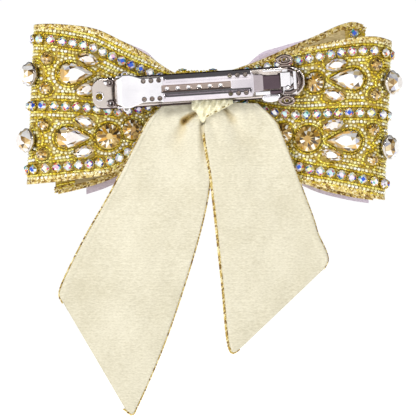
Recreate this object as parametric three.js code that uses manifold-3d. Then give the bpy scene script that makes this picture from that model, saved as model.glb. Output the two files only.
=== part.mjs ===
// A beaded bow on a French barrette: metal clip, two beaded loops, two beaded wings behind them, a fabric knot
// and two satin tails. Millimetres. +X runs along the bow, +Z is up, and the hair side faces -Y.
// The origin is in the middle of the barrette, where the hair is gripped.
import * as THREE from 'three';
import { mergeVertices } from 'three/addons/utils/BufferGeometryUtils.js';
import Module from 'manifold-3d';

const wasm = await Module();
wasm.setup();

// ---------------------------------------------------------------- driving dimensions

const GAP = 0.3;                                         // clearance between pieces that touch
const BARRETTE_TILT = THREE.MathUtils.degToRad(3.8);     // the clip's right end stands this much higher

const BASE = { leftEnd: -39.4, rightEnd: 40, width: 11, thickness: 0.8, middleY: 8, endY: 1, halfSpan: 40 };
const ARM = { from: -30.8, to: 21, width: 10, outerY: -2.1, innerY: -0.9 };
const NECK = { to: 24.4, width: 6.4 };
const TONGUE = { to: 31, width: 5.3, outerY: -1.3, innerY: -0.5 };
const PIN = { u: -28.5, y: 0.6, radius: 0.8, halfLength: 6.9 };
const TENSION = { from: -26.4, to: 28, width: 6, thickness: 0.5, middleY: 5.2, endY: 2.6 };
const EAR = { inner: 5.3, thickness: 0.8, radius: 1.9 };
const CLASP = { from: 31.4, to: 37.4, lipWidth: 7, footWidth: 10, lipOuterY: -2, thickness: 0.8 };
const CLASP_WING = {
  from: 29.8, to: 36, inner: 5.9, reach: 9.9, rounding: 1.6, thickness: 0.7, faceY: -0.6, footY: 3,
};
const END_HOLE = { u: -36.9, v: -1.1, radius: 1.5 };
const HINGE_RIVETS = { upper: { u: -34.2, v: 4 }, lower: { u: -33.4, v: -3.6 }, radius: 1 };
const CLASP_RIVET = { u: 33.6, v: -2.4, radius: 0.9 };
const ARM_HOLES = { groupStarts: [-20.1, 12.2], perRow: 3, pitch: 2.8, offset: 3.4, radius: 0.65 };
const RIB = { from: -12.6, to: 19.6, radius: 0.85, offset: 2.9 };
const PIT = { count: 6, from: -11, pitch: 4, radius: 1, depth: 0.4 };
const KNUCKLE = { radius: 1.5, halfWidth: 3 };
const TENSION_LUG = { inner: 3.5, outer: 4.7, radius: 1.5 };

const BAND_HALF = 1.2;                                   // beaded cloth, half its thickness
const RETURN_HALF = 0.9;
const WING_HALF = 1;
const STIFFENER_HALF = 0.25;
const LINING_HALF = 0.3;
const STIFFENER = { from: 0.18, to: 0.96, margin: 1.4 }; // shares of a wing's length, and how far it stands out
const LINING = { from: 0.01, to: 0.9, margin: -0.6 };
const FOLD_RADIUS = 7.6;
const FOLD_CENTRE_Y = 12.2;
const LOOP_LEAN = 0.045;                                 // sideways lean of the loops, per millimetre of height
const PINCH_TOP = [[0, 4.4], [9, 5.4]];                  // the loops' height where the knot grips them
const PINCH_BOTTOM = [[0, -10.5], [9, -10.8]];
const INNER_END = 0.8;                                   // both halves of the bow stop this far from the middle

// Each edge lists [distance from the middle, height].
const LOOPS = {
  left: {
    sign: -1,
    reach: 61.6,
    top: [...PINCH_TOP, [20, 12], [30, 17.4], [40, 21.8], [53, 23.4], [62, 23.6]],
    bottom: [...PINCH_BOTTOM, [20, -23], [30, -31], [45, -34], [62, -36]],
  },
  right: {
    sign: 1,
    reach: 71.2,
    top: [...PINCH_TOP, [30, 12.1], [53, 17.6], [65, 18.8], [72, 17.3]],
    bottom: [...PINCH_BOTTOM, [24, -25], [38, -34.3], [53, -37.9], [72, -42]],
  },
};
const WINGS = {
  left: {
    sign: -1,
    reach: 54,
    lean: 0,
    top: [...PINCH_TOP, [20, 12.8], [30, 18], [42, 21], [56, 21.5]],
    bottom: [...PINCH_BOTTOM, [20, -23.6], [30, -31.8], [41, -36.2], [56, -39.8]],
  },
  right: {
    sign: 1,
    reach: 65,
    lean: -0.064,
    top: [...PINCH_TOP, [20, 8.6], [47, 20], [60, 24.9], [66, 23.2]],
    bottom: [...PINCH_BOTTOM, [24, -25.5], [39.4, -35.5], [53, -39.6], [68, -42]],
  },
};

// Rows of set crystals, as shares of a loop's height, and how near the middle each row starts.
const CHAIN_ROWS = {
  top: { across: { left: 0.9, right: 0.915 }, from: { left: 20, right: 31 } },
  middle: { across: { left: 0.47, right: 0.515 }, from: { left: 25, right: 26 } },
  bottom: { across: { left: 0.08, right: 0.095 }, from: { left: 25, right: 33 } },
};
const CHAIN = { pitch: 4, stoneHalf: 1.75, linkHalf: 0.6, stoneHeight: 2, linkHeight: 0.7 };

// The two lanes of large crystals between the chain rows. Distances are from a loop's reach towards the middle,
// offsets across the lane, both in millimetres.
const LANES = {
  left_upper: { loop: 'left', across: 0.69, largeRounds: [] },
  left_lower: {
    loop: 'left',
    across: 0.27,
    largeRounds: [{ inward: 28.5, radius: 4.7 }, { inward: 37.6, radius: 3.8 }],
  },
  right_upper: { loop: 'right', across: 0.735, largeRounds: [{ inward: 27.2, radius: 3.6 }] },
  right_lower: {
    loop: 'right',
    across: 0.325,
    largeRounds: [{ inward: 28.6, radius: 4.8 }, { inward: 38, radius: 3.7 }],
  },
};
const SMALL_ROUND = { inward: 5, offset: 5.6, radius: 2.2, height: 2.2 };
const PEAR = { inward: 15.6, length: 13.2, width: 8.8, height: 3.2 };
const MARQUISE = { inward: 19.6, offset: 5.6, length: 8.2, width: 4.1, height: 2.4, turn: 0.3 };
const END_ROUND = { radius: 4.5, height: 4.4, beforeFold: 3.8 };
const LARGE_ROUND_HEIGHT = 3;
const PEAR_TAPER = 1.3;                                  // how quickly a pear stone narrows to its point
const PEAR_FULLNESS = 1.25;
const MARQUISE_TAPER = 0.5;

const TAIL_HALF = 0.5;
// Depth of the tails at each height: [height, y].
const TAIL_DEPTH = [[-124, 5], [-60, 4], [-36, 1.8], [-16, 1.6], [-6, 4]];
// Each tail is laced between its left and right edges: [x, z] from the knot down to the slanted end.
const TAILS = {
  tail_left: {
    leftEdge: [[-13.5, -7], [-17.6, -11.5], [-20.5, -16.5], [-32.8, -40.2], [-42, -56.2], [-51.9, -77.5]],
    rightEdge: [[-2.4, -7], [-0.8, -13.6], [2.8, -16], [4.4, -36], [-10, -88.9], [-24.3, -122.6]],
  },
  tail_right: {
    leftEdge: [[11.8, -6.6], [13.6, -13.6], [3.7, -16.2], [5.6, -36], [9.6, -72.8], [12.5, -99.2]],
    rightEdge: [[22.6, -6], [28.9, -12.4], [31, -16.5], [38.4, -36], [44, -49.5], [49.1, -65.6]],
  },
};

const WRAP = { centreX: 5.2, centreZ: -9, width: 12.4, lean: -0.3 };
const KNOT_WIDTH = 17;

// ---------------------------------------------------------------- materials

function finish(color, roughness, metalness) {
  return new THREE.MeshStandardMaterial({ color, roughness, metalness });
}

const MATERIALS = {
  nickel: finish('#cfcdd0', 0.25, 1),
  beadwork: finish('#cbb84f', 0.4, 0.4),
  satin: finish('#e9e1c6', 0.5, 0),
  lining: finish('#b49e6f', 0.55, 0),
  stiffener: finish('#cdc0cb', 0.7, 0),
  crystal: finish('#c5b6a4', 0.08, 0),
  auroraCrystal: finish('#dfe3e6', 0.08, 0.1),
  knot: finish('#e6dfbf', 0.6, 0),
};

// ---------------------------------------------------------------- geometry helpers

function geometryFrom(positions, indices) {
  const geometry = new THREE.BufferGeometry();
  geometry.setAttribute('position', new THREE.Float32BufferAttribute(positions, 3));
  geometry.setIndex(indices);
  return facingOut(geometry);
}

// Turns every triangle over when the body's signed volume says that its faces point inwards.
function facingOut(geometry) {
  const place = geometry.getAttribute('position');
  const index = geometry.getIndex().array;
  const [a, b, c] = [new THREE.Vector3(), new THREE.Vector3(), new THREE.Vector3()];
  let volume = 0;
  for (let i = 0; i < index.length; i += 3) {
    a.fromBufferAttribute(place, index[i]);
    b.fromBufferAttribute(place, index[i + 1]);
    c.fromBufferAttribute(place, index[i + 2]);
    volume += a.dot(b.cross(c));
  }
  if (volume < 0) {
    for (let i = 0; i < index.length; i += 3) {
      [index[i + 1], index[i + 2]] = [index[i + 2], index[i + 1]];
    }
  }
  return geometry;
}

// A closed body through rings of points that all have the same number of points, with a flat cap at each end.
function loft(rings) {
  const around = rings[0].length;
  const positions = rings.flat().flatMap((point) => point.toArray());
  const indices = [];
  for (let ring = 0; ring < rings.length - 1; ring += 1) {
    for (let step = 0; step < around; step += 1) {
      const here = ring * around + step;
      const next = ring * around + ((step + 1) % around);
      indices.push(here, next, next + around, here, next + around, here + around);
    }
  }
  const last = (rings.length - 1) * around;
  for (let step = 1; step < around - 1; step += 1) {
    indices.push(0, step + 1, step, last, last + step, last + step + 1);
  }
  return geometryFrom(positions, indices);
}

// A closed body between two grids of points, laid out alike, such as the two faces of a cloth panel.
function slab(nearFace, farFace) {
  const rows = nearFace.length;
  const columns = nearFace[0].length;
  const positions = [...nearFace.flat(), ...farFace.flat()].flatMap((point) => point.toArray());
  const indices = [];
  const near = (row, column) => row * columns + column;
  const far = (row, column) => rows * columns + near(row, column);
  const quad = (a, b, c, d) => indices.push(a, b, c, a, c, d);
  for (let row = 0; row < rows - 1; row += 1) {
    for (let column = 0; column < columns - 1; column += 1) {
      quad(near(row, column), near(row, column + 1), near(row + 1, column + 1), near(row + 1, column));
      quad(far(row, column), far(row + 1, column), far(row + 1, column + 1), far(row, column + 1));
    }
    quad(near(row, 0), near(row + 1, 0), far(row + 1, 0), far(row, 0));
    const end = columns - 1;
    quad(near(row, end), far(row, end), far(row + 1, end), near(row + 1, end));
  }
  for (let column = 0; column < columns - 1; column += 1) {
    quad(near(0, column), far(0, column), far(0, column + 1), near(0, column + 1));
    const end = rows - 1;
    quad(near(end, column), near(end, column + 1), far(end, column + 1), far(end, column));
  }
  return geometryFrom(positions, indices);
}

function toSolid(geometry) {
  const bare = geometry.clone();
  bare.deleteAttribute('normal');
  bare.deleteAttribute('uv');
  const merged = mergeVertices(bare, 1e-4);
  const vertProperties = merged.getAttribute('position').array;
  const triVerts = new Uint32Array(merged.getIndex().array);
  return new wasm.Manifold(new wasm.Mesh({ numProp: 3, vertProperties, triVerts }));
}

function joinAndCut(added, removed = []) {
  let solid = added.map(toSolid).reduce((whole, piece) => whole.add(piece));
  for (const hole of removed) {
    solid = solid.subtract(toSolid(hole));
  }
  const mesh = solid.getMesh();
  return geometryFrom(Array.from(mesh.vertProperties), Array.from(mesh.triVerts));
}

function box(xFrom, xTo, yFrom, yTo, zFrom, zTo) {
  const geometry = new THREE.BoxGeometry(xTo - xFrom, yTo - yFrom, zTo - zFrom);
  return geometry.translate((xFrom + xTo) / 2, (yFrom + yTo) / 2, (zFrom + zTo) / 2);
}

// A flat plate whose outline is drawn in x and z, between two depths.
function plate(outline, yFrom, yTo, curveSegments = 6) {
  const depth = yTo - yFrom;
  const geometry = new THREE.ExtrudeGeometry(outline, { depth, bevelEnabled: false, curveSegments });
  return geometry.rotateX(Math.PI / 2).translate(0, yTo, 0);
}

// A bar whose outline is drawn in y and z, running along x.
function barAlongX(outline, xFrom, xTo) {
  const geometry = new THREE.ExtrudeGeometry(outline, { depth: xTo - xFrom, bevelEnabled: false });
  const turn = new THREE.Matrix4().makeBasis(
    new THREE.Vector3(0, 1, 0), new THREE.Vector3(0, 0, 1), new THREE.Vector3(1, 0, 0));
  return geometry.applyMatrix4(turn).translate(xFrom, 0, 0);
}

function outlineThrough(points) {
  return new THREE.Shape(points.map(([x, y]) => new THREE.Vector2(x, y)));
}

// A cylinder that runs along y, for holes through the flat metal.
function drill(x, z, radius, yFrom, yTo, segments = 10) {
  const geometry = new THREE.CylinderGeometry(radius, radius, yTo - yFrom, segments);
  return geometry.translate(x, (yFrom + yTo) / 2, z);
}

// A height that varies smoothly with distance, through [distance, height] points.
function smoothThrough(points) {
  const slopes = points.map((_, i) => {
    const before = points[Math.max(i - 1, 0)];
    const after = points[Math.min(i + 1, points.length - 1)];
    return (after[1] - before[1]) / (after[0] - before[0]);
  });
  return (distance) => {
    const last = points.length - 2;
    const found = points.findIndex((_, i) => i <= last && distance <= points[i + 1][0]);
    const i = found < 0 ? last : found;
    const span = points[i + 1][0] - points[i][0];
    const t = THREE.MathUtils.clamp((distance - points[i][0]) / span, 0, 1);
    const ease = t * t * (3 - 2 * t);
    const fromHere = points[i][1] + slopes[i] * span * t * (1 - t) ** 2;
    const fromNext = (points[i + 1][1] - points[i][1]) * ease - slopes[i + 1] * span * t * t * (1 - t);
    return fromHere + fromNext;
  };
}

// ------------------------------------------------ barrette, in its own tilted frame (x along, z across)

function baseY(u) {
  return BASE.middleY - (BASE.middleY - BASE.endY) * (u / BASE.halfSpan) ** 2;
}

function tensionY(u) {
  return TENSION.middleY - (TENSION.middleY - TENSION.endY) * (u / TENSION.to) ** 2;
}

// A strip of sheet metal with rounded ends that follows a curve in depth.
function bentStrip(from, to, width, thickness, depthAt, steps) {
  const half = width / 2;
  const near = [];
  const far = [];
  for (let i = 0; i <= steps; i += 1) {
    const u = THREE.MathUtils.lerp(from, to, (1 - Math.cos((Math.PI * i) / steps)) / 2);
    const fromEnd = Math.min(u - from, to - u, half);
    const halfHere = Math.max(Math.sqrt(half ** 2 - (half - fromEnd) ** 2), half * 0.35);
    const across = (y) => [new THREE.Vector3(u, y, -halfHere), new THREE.Vector3(u, y, halfHere)];
    near.push(across(depthAt(u) - thickness / 2));
    far.push(across(depthAt(u) + thickness / 2));
  }
  return slab(near, far);
}

// A ring or an ear round the hinge pin, drawn in x and y and standing between two widths.
function lug(radius, footY, zFrom, zTo) {
  const outline = new THREE.Shape();
  outline.moveTo(PIN.u - radius, footY);
  outline.lineTo(PIN.u - radius, PIN.y);
  outline.absarc(PIN.u, PIN.y, radius, Math.PI, 2 * Math.PI, false);
  outline.lineTo(PIN.u + radius, footY);
  outline.closePath();
  const hole = new THREE.Path();
  hole.absarc(PIN.u, PIN.y, PIN.radius + GAP, 0, 2 * Math.PI, true);
  outline.holes.push(hole);
  const options = { depth: zTo - zFrom, bevelEnabled: false, curveSegments: 6 };
  return new THREE.ExtrudeGeometry(outline, options).translate(0, 0, zFrom);
}

function basePlate() {
  const strip = bentStrip(BASE.leftEnd, BASE.rightEnd, BASE.width, BASE.thickness, baseY, 26);
  const footY = baseY(PIN.u);
  const earStarts = [EAR.inner, -EAR.inner - EAR.thickness];
  const ears = earStarts.map((z) => lug(EAR.radius, footY, z, z + EAR.thickness));
  const endHole = drill(END_HOLE.u, END_HOLE.v, END_HOLE.radius, 0, footY);
  return joinAndCut([strip, ...ears], [endHole]);
}

function hingePin() {
  const geometry = new THREE.CylinderGeometry(PIN.radius, PIN.radius, 2 * PIN.halfLength, 12);
  return geometry.rotateX(Math.PI / 2).translate(PIN.u, PIN.y, 0);
}

// A low domed head standing off the metal behind it.
function rivetHead({ u, v }, radius, seatY) {
  const height = radius * 0.55;
  const profile = [[0, 0], [radius, 0], [radius * 0.8, height * 0.7], [0, height]];
  const geometry = new THREE.LatheGeometry(profile.map(([r, h]) => new THREE.Vector2(r, h)), 10);
  return geometry.rotateX(Math.PI).translate(u, seatY - GAP, v);
}

// One of the two rivets in the base plate's end. The plate slopes there, so the head stands further off.
function hingeRivet(which) {
  const place = HINGE_RIVETS[which];
  return rivetHead(place, HINGE_RIVETS.radius, baseY(place.u) - BASE.thickness / 2 - 0.2);
}

function armOutline() {
  const half = ARM.width / 2;
  const corner = 1.2;
  const outline = new THREE.Shape();
  outline.moveTo(ARM.from + corner, -half);
  outline.lineTo(ARM.to - corner, -half);
  outline.lineTo(ARM.to, -NECK.width / 2);
  outline.lineTo(NECK.to, -NECK.width / 2);
  outline.lineTo(NECK.to, NECK.width / 2);
  outline.lineTo(ARM.to, NECK.width / 2);
  outline.lineTo(ARM.to - corner, half);
  outline.lineTo(ARM.from + corner, half);
  outline.absarc(ARM.from + corner, half - corner, corner, Math.PI / 2, Math.PI, false);
  outline.absarc(ARM.from + corner, -half + corner, corner, Math.PI, 1.5 * Math.PI, false);
  return outline;
}

// Two groups of small holes through the arm, a row along each of its edges.
function armHoles() {
  const holes = [];
  for (const start of ARM_HOLES.groupStarts) {
    for (const side of [-1, 1]) {
      for (let i = 0; i < ARM_HOLES.perRow; i += 1) {
        const u = start + i * ARM_HOLES.pitch;
        const throughRib = ARM.outerY - RIB.radius - GAP;
        holes.push(drill(u, side * ARM_HOLES.offset, ARM_HOLES.radius, throughRib, ARM.innerY + GAP, 8));
      }
    }
  }
  return holes;
}

function topArm() {
  const sheet = plate(armOutline(), ARM.outerY, ARM.innerY, 4);
  const halfTongue = TONGUE.width / 2;
  const tongue = box(NECK.to - 0.6, TONGUE.to, TONGUE.outerY, TONGUE.innerY, -halfTongue, halfTongue);
  const sunk = 0.1;
  const ribLength = RIB.to - RIB.from;
  const ribs = [-RIB.offset, RIB.offset].map((z) => new THREE.CapsuleGeometry(RIB.radius, ribLength, 3, 10)
    .rotateZ(Math.PI / 2).translate((RIB.from + RIB.to) / 2, ARM.outerY + sunk, z));
  const knuckleFoot = 2 * PIN.y - (ARM.outerY + ARM.innerY) / 2;
  const knuckle = lug(KNUCKLE.radius, knuckleFoot, -KNUCKLE.halfWidth, KNUCKLE.halfWidth)
    .rotateX(Math.PI).translate(0, 2 * PIN.y, 0);
  const pits = Array.from({ length: PIT.count }, (_, i) => new THREE.SphereGeometry(PIT.radius, 10, 6)
    .translate(PIT.from + i * PIT.pitch, ARM.outerY + PIT.depth - PIT.radius, 0));
  return joinAndCut([sheet, tongue, ...ribs, knuckle], [...pits, ...armHoles()]);
}

function tensionBar() {
  const strip = bentStrip(TENSION.from, TENSION.to, TENSION.width, TENSION.thickness, tensionY, 16);
  const startY = tensionY(TENSION.from);
  const half = TENSION.thickness / 2;
  const bridge = box(TENSION.from - 0.4, TENSION.from + 2, startY - half, startY + half,
    -TENSION_LUG.outer, TENSION_LUG.outer);
  const lugWidth = TENSION_LUG.outer - TENSION_LUG.inner;
  const lugs = [TENSION_LUG.inner, -TENSION_LUG.outer].flatMap((z) => [
    box(PIN.u, TENSION.from + 1, PIN.y + PIN.radius + 1.5 * GAP, startY + half, z, z + lugWidth),
    lug(TENSION_LUG.radius, PIN.y + TENSION_LUG.radius, z, z + lugWidth),
  ]);
  return joinAndCut([strip, bridge, ...lugs]);
}

function claspBridge() {
  const foot = bentStrip(CLASP.from, CLASP.to, CLASP.footWidth, CLASP.thickness,
    (u) => baseY(u) - BASE.thickness - GAP, 8);
  const halfLip = CLASP.lipWidth / 2;
  const uprightEnd = CLASP.to - 0.6;
  const upright = box(uprightEnd - 1, uprightEnd, CLASP.lipOuterY, baseY(uprightEnd) - BASE.thickness - GAP,
    -halfLip, halfLip);
  const lip = box(CLASP.from, uprightEnd, CLASP.lipOuterY, CLASP.lipOuterY + CLASP.thickness, -halfLip, halfLip);
  return joinAndCut([foot, upright, lip]);
}

// One of the two sprung tabs that are pinched to open the clip. side is +1 for the upper one.
function claspWing(side) {
  const length = CLASP_WING.to - CLASP_WING.from;
  const middle = (CLASP_WING.from + CLASP_WING.to) / 2;
  const rounding = CLASP_WING.rounding;
  const outline = new THREE.Shape();
  outline.moveTo(CLASP_WING.from, CLASP_WING.inner);
  outline.lineTo(CLASP_WING.to, CLASP_WING.inner);
  outline.lineTo(CLASP_WING.to, CLASP_WING.reach - rounding);
  outline.absellipse(middle, CLASP_WING.reach - rounding, length / 2, rounding, 0, Math.PI, false, 0);
  const grip = new THREE.Path();
  const gripHeight = (CLASP_WING.inner + CLASP_WING.reach) / 2 + GAP;
  grip.absellipse(middle, gripHeight, length * 0.3, rounding * 0.56, 0, 2 * Math.PI, true, 0);
  outline.holes.push(grip);
  const tab = plate(outline, CLASP_WING.faceY, CLASP_WING.faceY + CLASP_WING.thickness);
  const blade = box(CLASP_WING.from + 0.8, CLASP_WING.to - 0.8, CLASP_WING.faceY, CLASP_WING.footY,
    CLASP_WING.inner, CLASP_WING.inner + CLASP_WING.thickness);
  const geometry = joinAndCut([tab, blade]);
  return facingOut(side > 0 ? geometry : geometry.scale(1, 1, -1));
}

// ---------------------------------------------------------------- beaded loops and wings

function planOfLoop(reach) {
  const centre = { x: reach - FOLD_RADIUS, y: FOLD_CENTRE_Y };
  const fold = [-90, -60, -30, 0, 30, 60, 90].map((degrees) => {
    const angle = THREE.MathUtils.degToRad(degrees);
    return [centre.x + FOLD_RADIUS * Math.cos(angle), centre.y + FOLD_RADIUS * Math.sin(angle)];
  });
  return [
    [INNER_END, 11.2], [9, 11], [25, 9.4], [36, 7.2], [46, 5.4],
    ...fold,
    [40, 18.6], [25, 16.6], [9, 13.8], [INNER_END, 13.6],
  ];
}

function planOfWing(reach) {
  return [[INNER_END, 17.6], [9, 18], [25, 21], [40, 23.2], [50, 24.3], [reach, 24.6]];
}

// The middle surface of a panel: (along, across) to a point and the normal that leaves the panel's worn face.
function panelSurface({ sign, lean, plan, top, bottom }) {
  const stops = plan.map(([x, y]) => new THREE.Vector3(x, y, 0));
  const path = new THREE.CatmullRomCurve3(stops, false, 'centripetal');
  const topAt = smoothThrough(top);
  const bottomAt = smoothThrough(bottom);
  const surface = (along, across, margin = 0) => {
    const place = path.getPointAt(along);
    const heading = path.getTangentAt(along);
    const z = THREE.MathUtils.lerp(bottomAt(place.x) - margin, topAt(place.x) + margin, across);
    return {
      point: new THREE.Vector3(sign * place.x + lean * z, place.y, z),
      normal: new THREE.Vector3(sign * heading.y, -heading.x, 0),
    };
  };
  surface.pathLength = path.getLength();
  surface.path = path;
  return surface;
}

// How far along the hair-side half of a panel the given distance from the middle is reached.
function alongAt(surface, distance, limit) {
  let [low, high] = [0, limit];
  for (let i = 0; i < 30; i += 1) {
    const middle = (low + high) / 2;
    if (surface.path.getPointAt(middle).x < distance) {
      low = middle;
    } else {
      high = middle;
    }
  }
  return (low + high) / 2;
}

function clothPanel(surface, { from, to, steps, rows, offset = 0, half, margin = 0 }) {
  const face = (shift) => Array.from({ length: steps + 1 }, (_, i) => {
    const along = THREE.MathUtils.lerp(from, to, i / steps);
    return Array.from({ length: rows + 1 }, (_, j) => {
      const { point, normal } = surface(along, j / rows, margin);
      return point.addScaledVector(normal, shift);
    });
  });
  return slab(face(offset + half), face(offset - half));
}

// The share of a loop's length at which it stands furthest out.
function findFold(surface) {
  const samples = Array.from({ length: 401 }, (_, i) => i / 400);
  const reachOf = (along) => surface.path.getPointAt(along).x;
  return samples.reduce((best, along) => (reachOf(along) > reachOf(best) ? along : best));
}

function loopSurface(loop) {
  const surface = panelSurface({ ...loop, lean: LOOP_LEAN, plan: planOfLoop(loop.reach) });
  surface.fold = findFold(surface);
  return surface;
}

const loopSurfaces = { left: loopSurface(LOOPS.left), right: loopSurface(LOOPS.right) };

// A row of set stones on one backing strip, lying on the worn face of a loop.
function chainGeometry(loopName, row) {
  const surface = loopSurfaces[loopName];
  const stop = surface.fold - CHAIN.stoneHalf / surface.pathLength;
  const start = alongAt(surface, row.from[loopName], surface.fold);
  const count = Math.floor(((stop - start) * surface.pathLength) / CHAIN.pitch);
  const pitch = (stop - start) / count;
  const halfStone = CHAIN.stoneHalf / surface.pathLength;
  const linkStart = halfStone * 1.15;
  const sections = [
    [-linkStart, CHAIN.linkHalf, CHAIN.linkHeight],
    [-halfStone, CHAIN.stoneHalf, CHAIN.stoneHeight],
    [halfStone, CHAIN.stoneHalf, CHAIN.stoneHeight],
    [linkStart, CHAIN.linkHalf, CHAIN.linkHeight],
  ];
  const rings = [];
  for (let stone = 0; stone < count; stone += 1) {
    const centre = start + (stone + 0.5) * pitch;
    for (const [shift, half, height] of sections) {
      const { point, normal } = surface(centre + shift, row.across[loopName]);
      const seat = point.addScaledVector(normal, BAND_HALF + GAP);
      const top = seat.clone().addScaledVector(normal, height);
      const sideways = new THREE.Vector3(0, 0, half);
      rings.push([
        seat.clone().sub(sideways),
        seat.clone().add(sideways),
        top.clone().add(sideways),
        top.clone().sub(sideways),
      ]);
    }
  }
  return loft(rings);
}

// ---------------------------------------------------------------- crystals in their cups

function roundGirdle(radius, segments) {
  return Array.from({ length: segments }, (_, i) => {
    const angle = (2 * Math.PI * i) / segments;
    return new THREE.Vector2(radius * Math.cos(angle), radius * Math.sin(angle));
  });
}

// A teardrop whose point is at +x.
function pearGirdle(length, width, segments) {
  return Array.from({ length: segments }, (_, i) => {
    const angle = (2 * Math.PI * i) / segments;
    const taper = PEAR_FULLNESS * Math.sin(angle / 2) ** PEAR_TAPER;
    return new THREE.Vector2((length / 2) * Math.cos(angle), (width / 2) * Math.sin(angle) * taper);
  });
}

function marquiseGirdle(length, width, segments) {
  return Array.from({ length: segments }, (_, i) => {
    const angle = (2 * Math.PI * i) / segments;
    const narrowing = Math.abs(Math.sin(angle)) ** MARQUISE_TAPER;
    return new THREE.Vector2((length / 2) * Math.cos(angle), (width / 2) * Math.sin(angle) * narrowing);
  });
}

// A cut stone: cup, girdle and table. It sits on z = 0 and its table faces +z.
function gem(girdle, height) {
  const levels = [[0.8, 0], [1, 0.45], [0.96, 0.58], [0.58, 1]];
  const rings = levels.map(([scale, level]) => girdle.map(
    (point) => new THREE.Vector3(point.x * scale, point.y * scale, level * height)));
  return loft(rings);
}

// Stands a stone on a loop's worn face, its +x pointing to the knot.
function seatOnLoop(geometry, loopName, along, across, offset = 0, turn = 0) {
  const surface = loopSurfaces[loopName];
  const { point, normal } = surface(along, across);
  const ahead = surface(along + 0.002, across).point;
  const behind = surface(along - 0.002, across).point;
  const towardKnot = behind.sub(ahead).normalize();
  const acrossBand = new THREE.Vector3().crossVectors(normal, towardKnot).normalize();
  const frame = new THREE.Matrix4().makeBasis(towardKnot, acrossBand, normal);
  const seat = point.addScaledVector(normal, BAND_HALF + GAP).add(new THREE.Vector3(0, 0, offset));
  return geometry.rotateZ(turn).applyMatrix4(frame.setPosition(seat));
}

function laneStones(laneName) {
  const lane = LANES[laneName];
  const surface = loopSurfaces[lane.loop];
  const { reach, sign } = LOOPS[lane.loop];
  const at = (inward) => alongAt(surface, reach - inward, surface.fold);
  const stones = [];
  const add = (name, geometry, along, offset, turn) => {
    const seated = seatOnLoop(geometry, lane.loop, along, lane.across, offset, turn);
    stones.push([`${name}_${laneName}`, seated]);
  };
  const foldStart = surface.fold - END_ROUND.beforeFold / surface.pathLength;
  add('end_round', gem(roundGirdle(END_ROUND.radius, 12), END_ROUND.height), foldStart);
  add('pear', gem(pearGirdle(PEAR.length, PEAR.width, 12), PEAR.height), at(PEAR.inward));
  for (const [where, side] of [['high', 1], ['low', -1]]) {
    const small = gem(roundGirdle(SMALL_ROUND.radius, 8), SMALL_ROUND.height);
    add(`small_round_${where}`, small, at(SMALL_ROUND.inward), side * SMALL_ROUND.offset);
    const marquise = gem(marquiseGirdle(MARQUISE.length, MARQUISE.width, 10), MARQUISE.height);
    add(`marquise_${where}`, marquise, at(MARQUISE.inward), side * MARQUISE.offset, sign * side * MARQUISE.turn);
  }
  lane.largeRounds.forEach(({ inward, radius }, i) => {
    add(`large_round_${i + 1}`, gem(roundGirdle(radius, 12), LARGE_ROUND_HEIGHT), at(inward));
  });
  return stones;
}

// ---------------------------------------------------------------- knot and tails

// The cloth that lies on the base plate under the arm, and puffs out and turns under the plate below it.
function knotWrap() {
  const outline = outlineThrough([
    [7, 4.4], [5.9, 4.4], [5.9, -4], [2.4, -5.4], [1.8, -7.4],
    [2, -10.6], [4, -13], [9, -13.2], [9, -6.4], [7, -6.4],
  ]);
  const geometry = barAlongX(outline, WRAP.centreX - WRAP.width / 2, WRAP.centreX + WRAP.width / 2);
  const slant = new THREE.Matrix4().makeShear(0, 0, 0, 0, WRAP.lean, 0);
  return geometry.translate(0, 0, -WRAP.centreZ).applyMatrix4(slant).translate(0, 0, WRAP.centreZ);
}

// The beaded band that gathers the bow on its display side.
function knotBand() {
  const outline = outlineThrough([
    [10.4, 7], [17, 7.2], [20.8, 6], [22, 2.4], [22.2, -2], [22, -7.4], [20.8, -12.2], [17, -14], [10.4, -13.8],
    [10.4, -12.1], [19.8, -12.1], [19.8, 5.8], [10.4, 5.8],
  ]);
  return barAlongX(outline, -KNOT_WIDTH / 2, KNOT_WIDTH / 2);
}

function tail({ leftEdge, rightEdge }) {
  const depthAt = smoothThrough(TAIL_DEPTH);
  const stepsPerStretch = 3;
  const columns = 3;
  const edgePoint = (edge, position) => {
    const stretch = Math.min(Math.floor(position), edge.length - 2);
    const from = new THREE.Vector2(...edge[stretch]);
    return from.lerp(new THREE.Vector2(...edge[stretch + 1]), position - stretch);
  };
  const face = (shift) => Array.from({ length: (leftEdge.length - 1) * stepsPerStretch + 1 }, (_, i) => {
    const left = edgePoint(leftEdge, i / stepsPerStretch);
    const right = edgePoint(rightEdge, i / stepsPerStretch);
    return Array.from({ length: columns + 1 }, (_, j) => {
      const place = left.clone().lerp(right, j / columns);
      return new THREE.Vector3(place.x, depthAt(place.y) + shift, place.y);
    });
  });
  return slab(face(-TAIL_HALF), face(TAIL_HALF));
}

// ---------------------------------------------------------------- assembly

const clip = new THREE.Group();
const barrette = new THREE.Group();
barrette.rotation.y = -BARRETTE_TILT;
clip.add(barrette);

function addMesh(group, name, geometry, material) {
  const mesh = new THREE.Mesh(geometry, material);
  mesh.name = name;
  group.add(mesh);
}

const METAL_PIECES = {
  base_plate: basePlate(),
  hinge_pin: hingePin(),
  hinge_rivet_upper: hingeRivet('upper'),
  hinge_rivet_lower: hingeRivet('lower'),
  top_arm: topArm(),
  tension_bar: tensionBar(),
  clasp_bridge: claspBridge(),
  clasp_wing_upper: claspWing(1),
  clasp_wing_lower: claspWing(-1),
  clasp_rivet: rivetHead(CLASP_RIVET, CLASP_RIVET.radius, CLASP.lipOuterY),
};
for (const [name, geometry] of Object.entries(METAL_PIECES)) {
  addMesh(barrette, name, geometry, MATERIALS.nickel);
}

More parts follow.
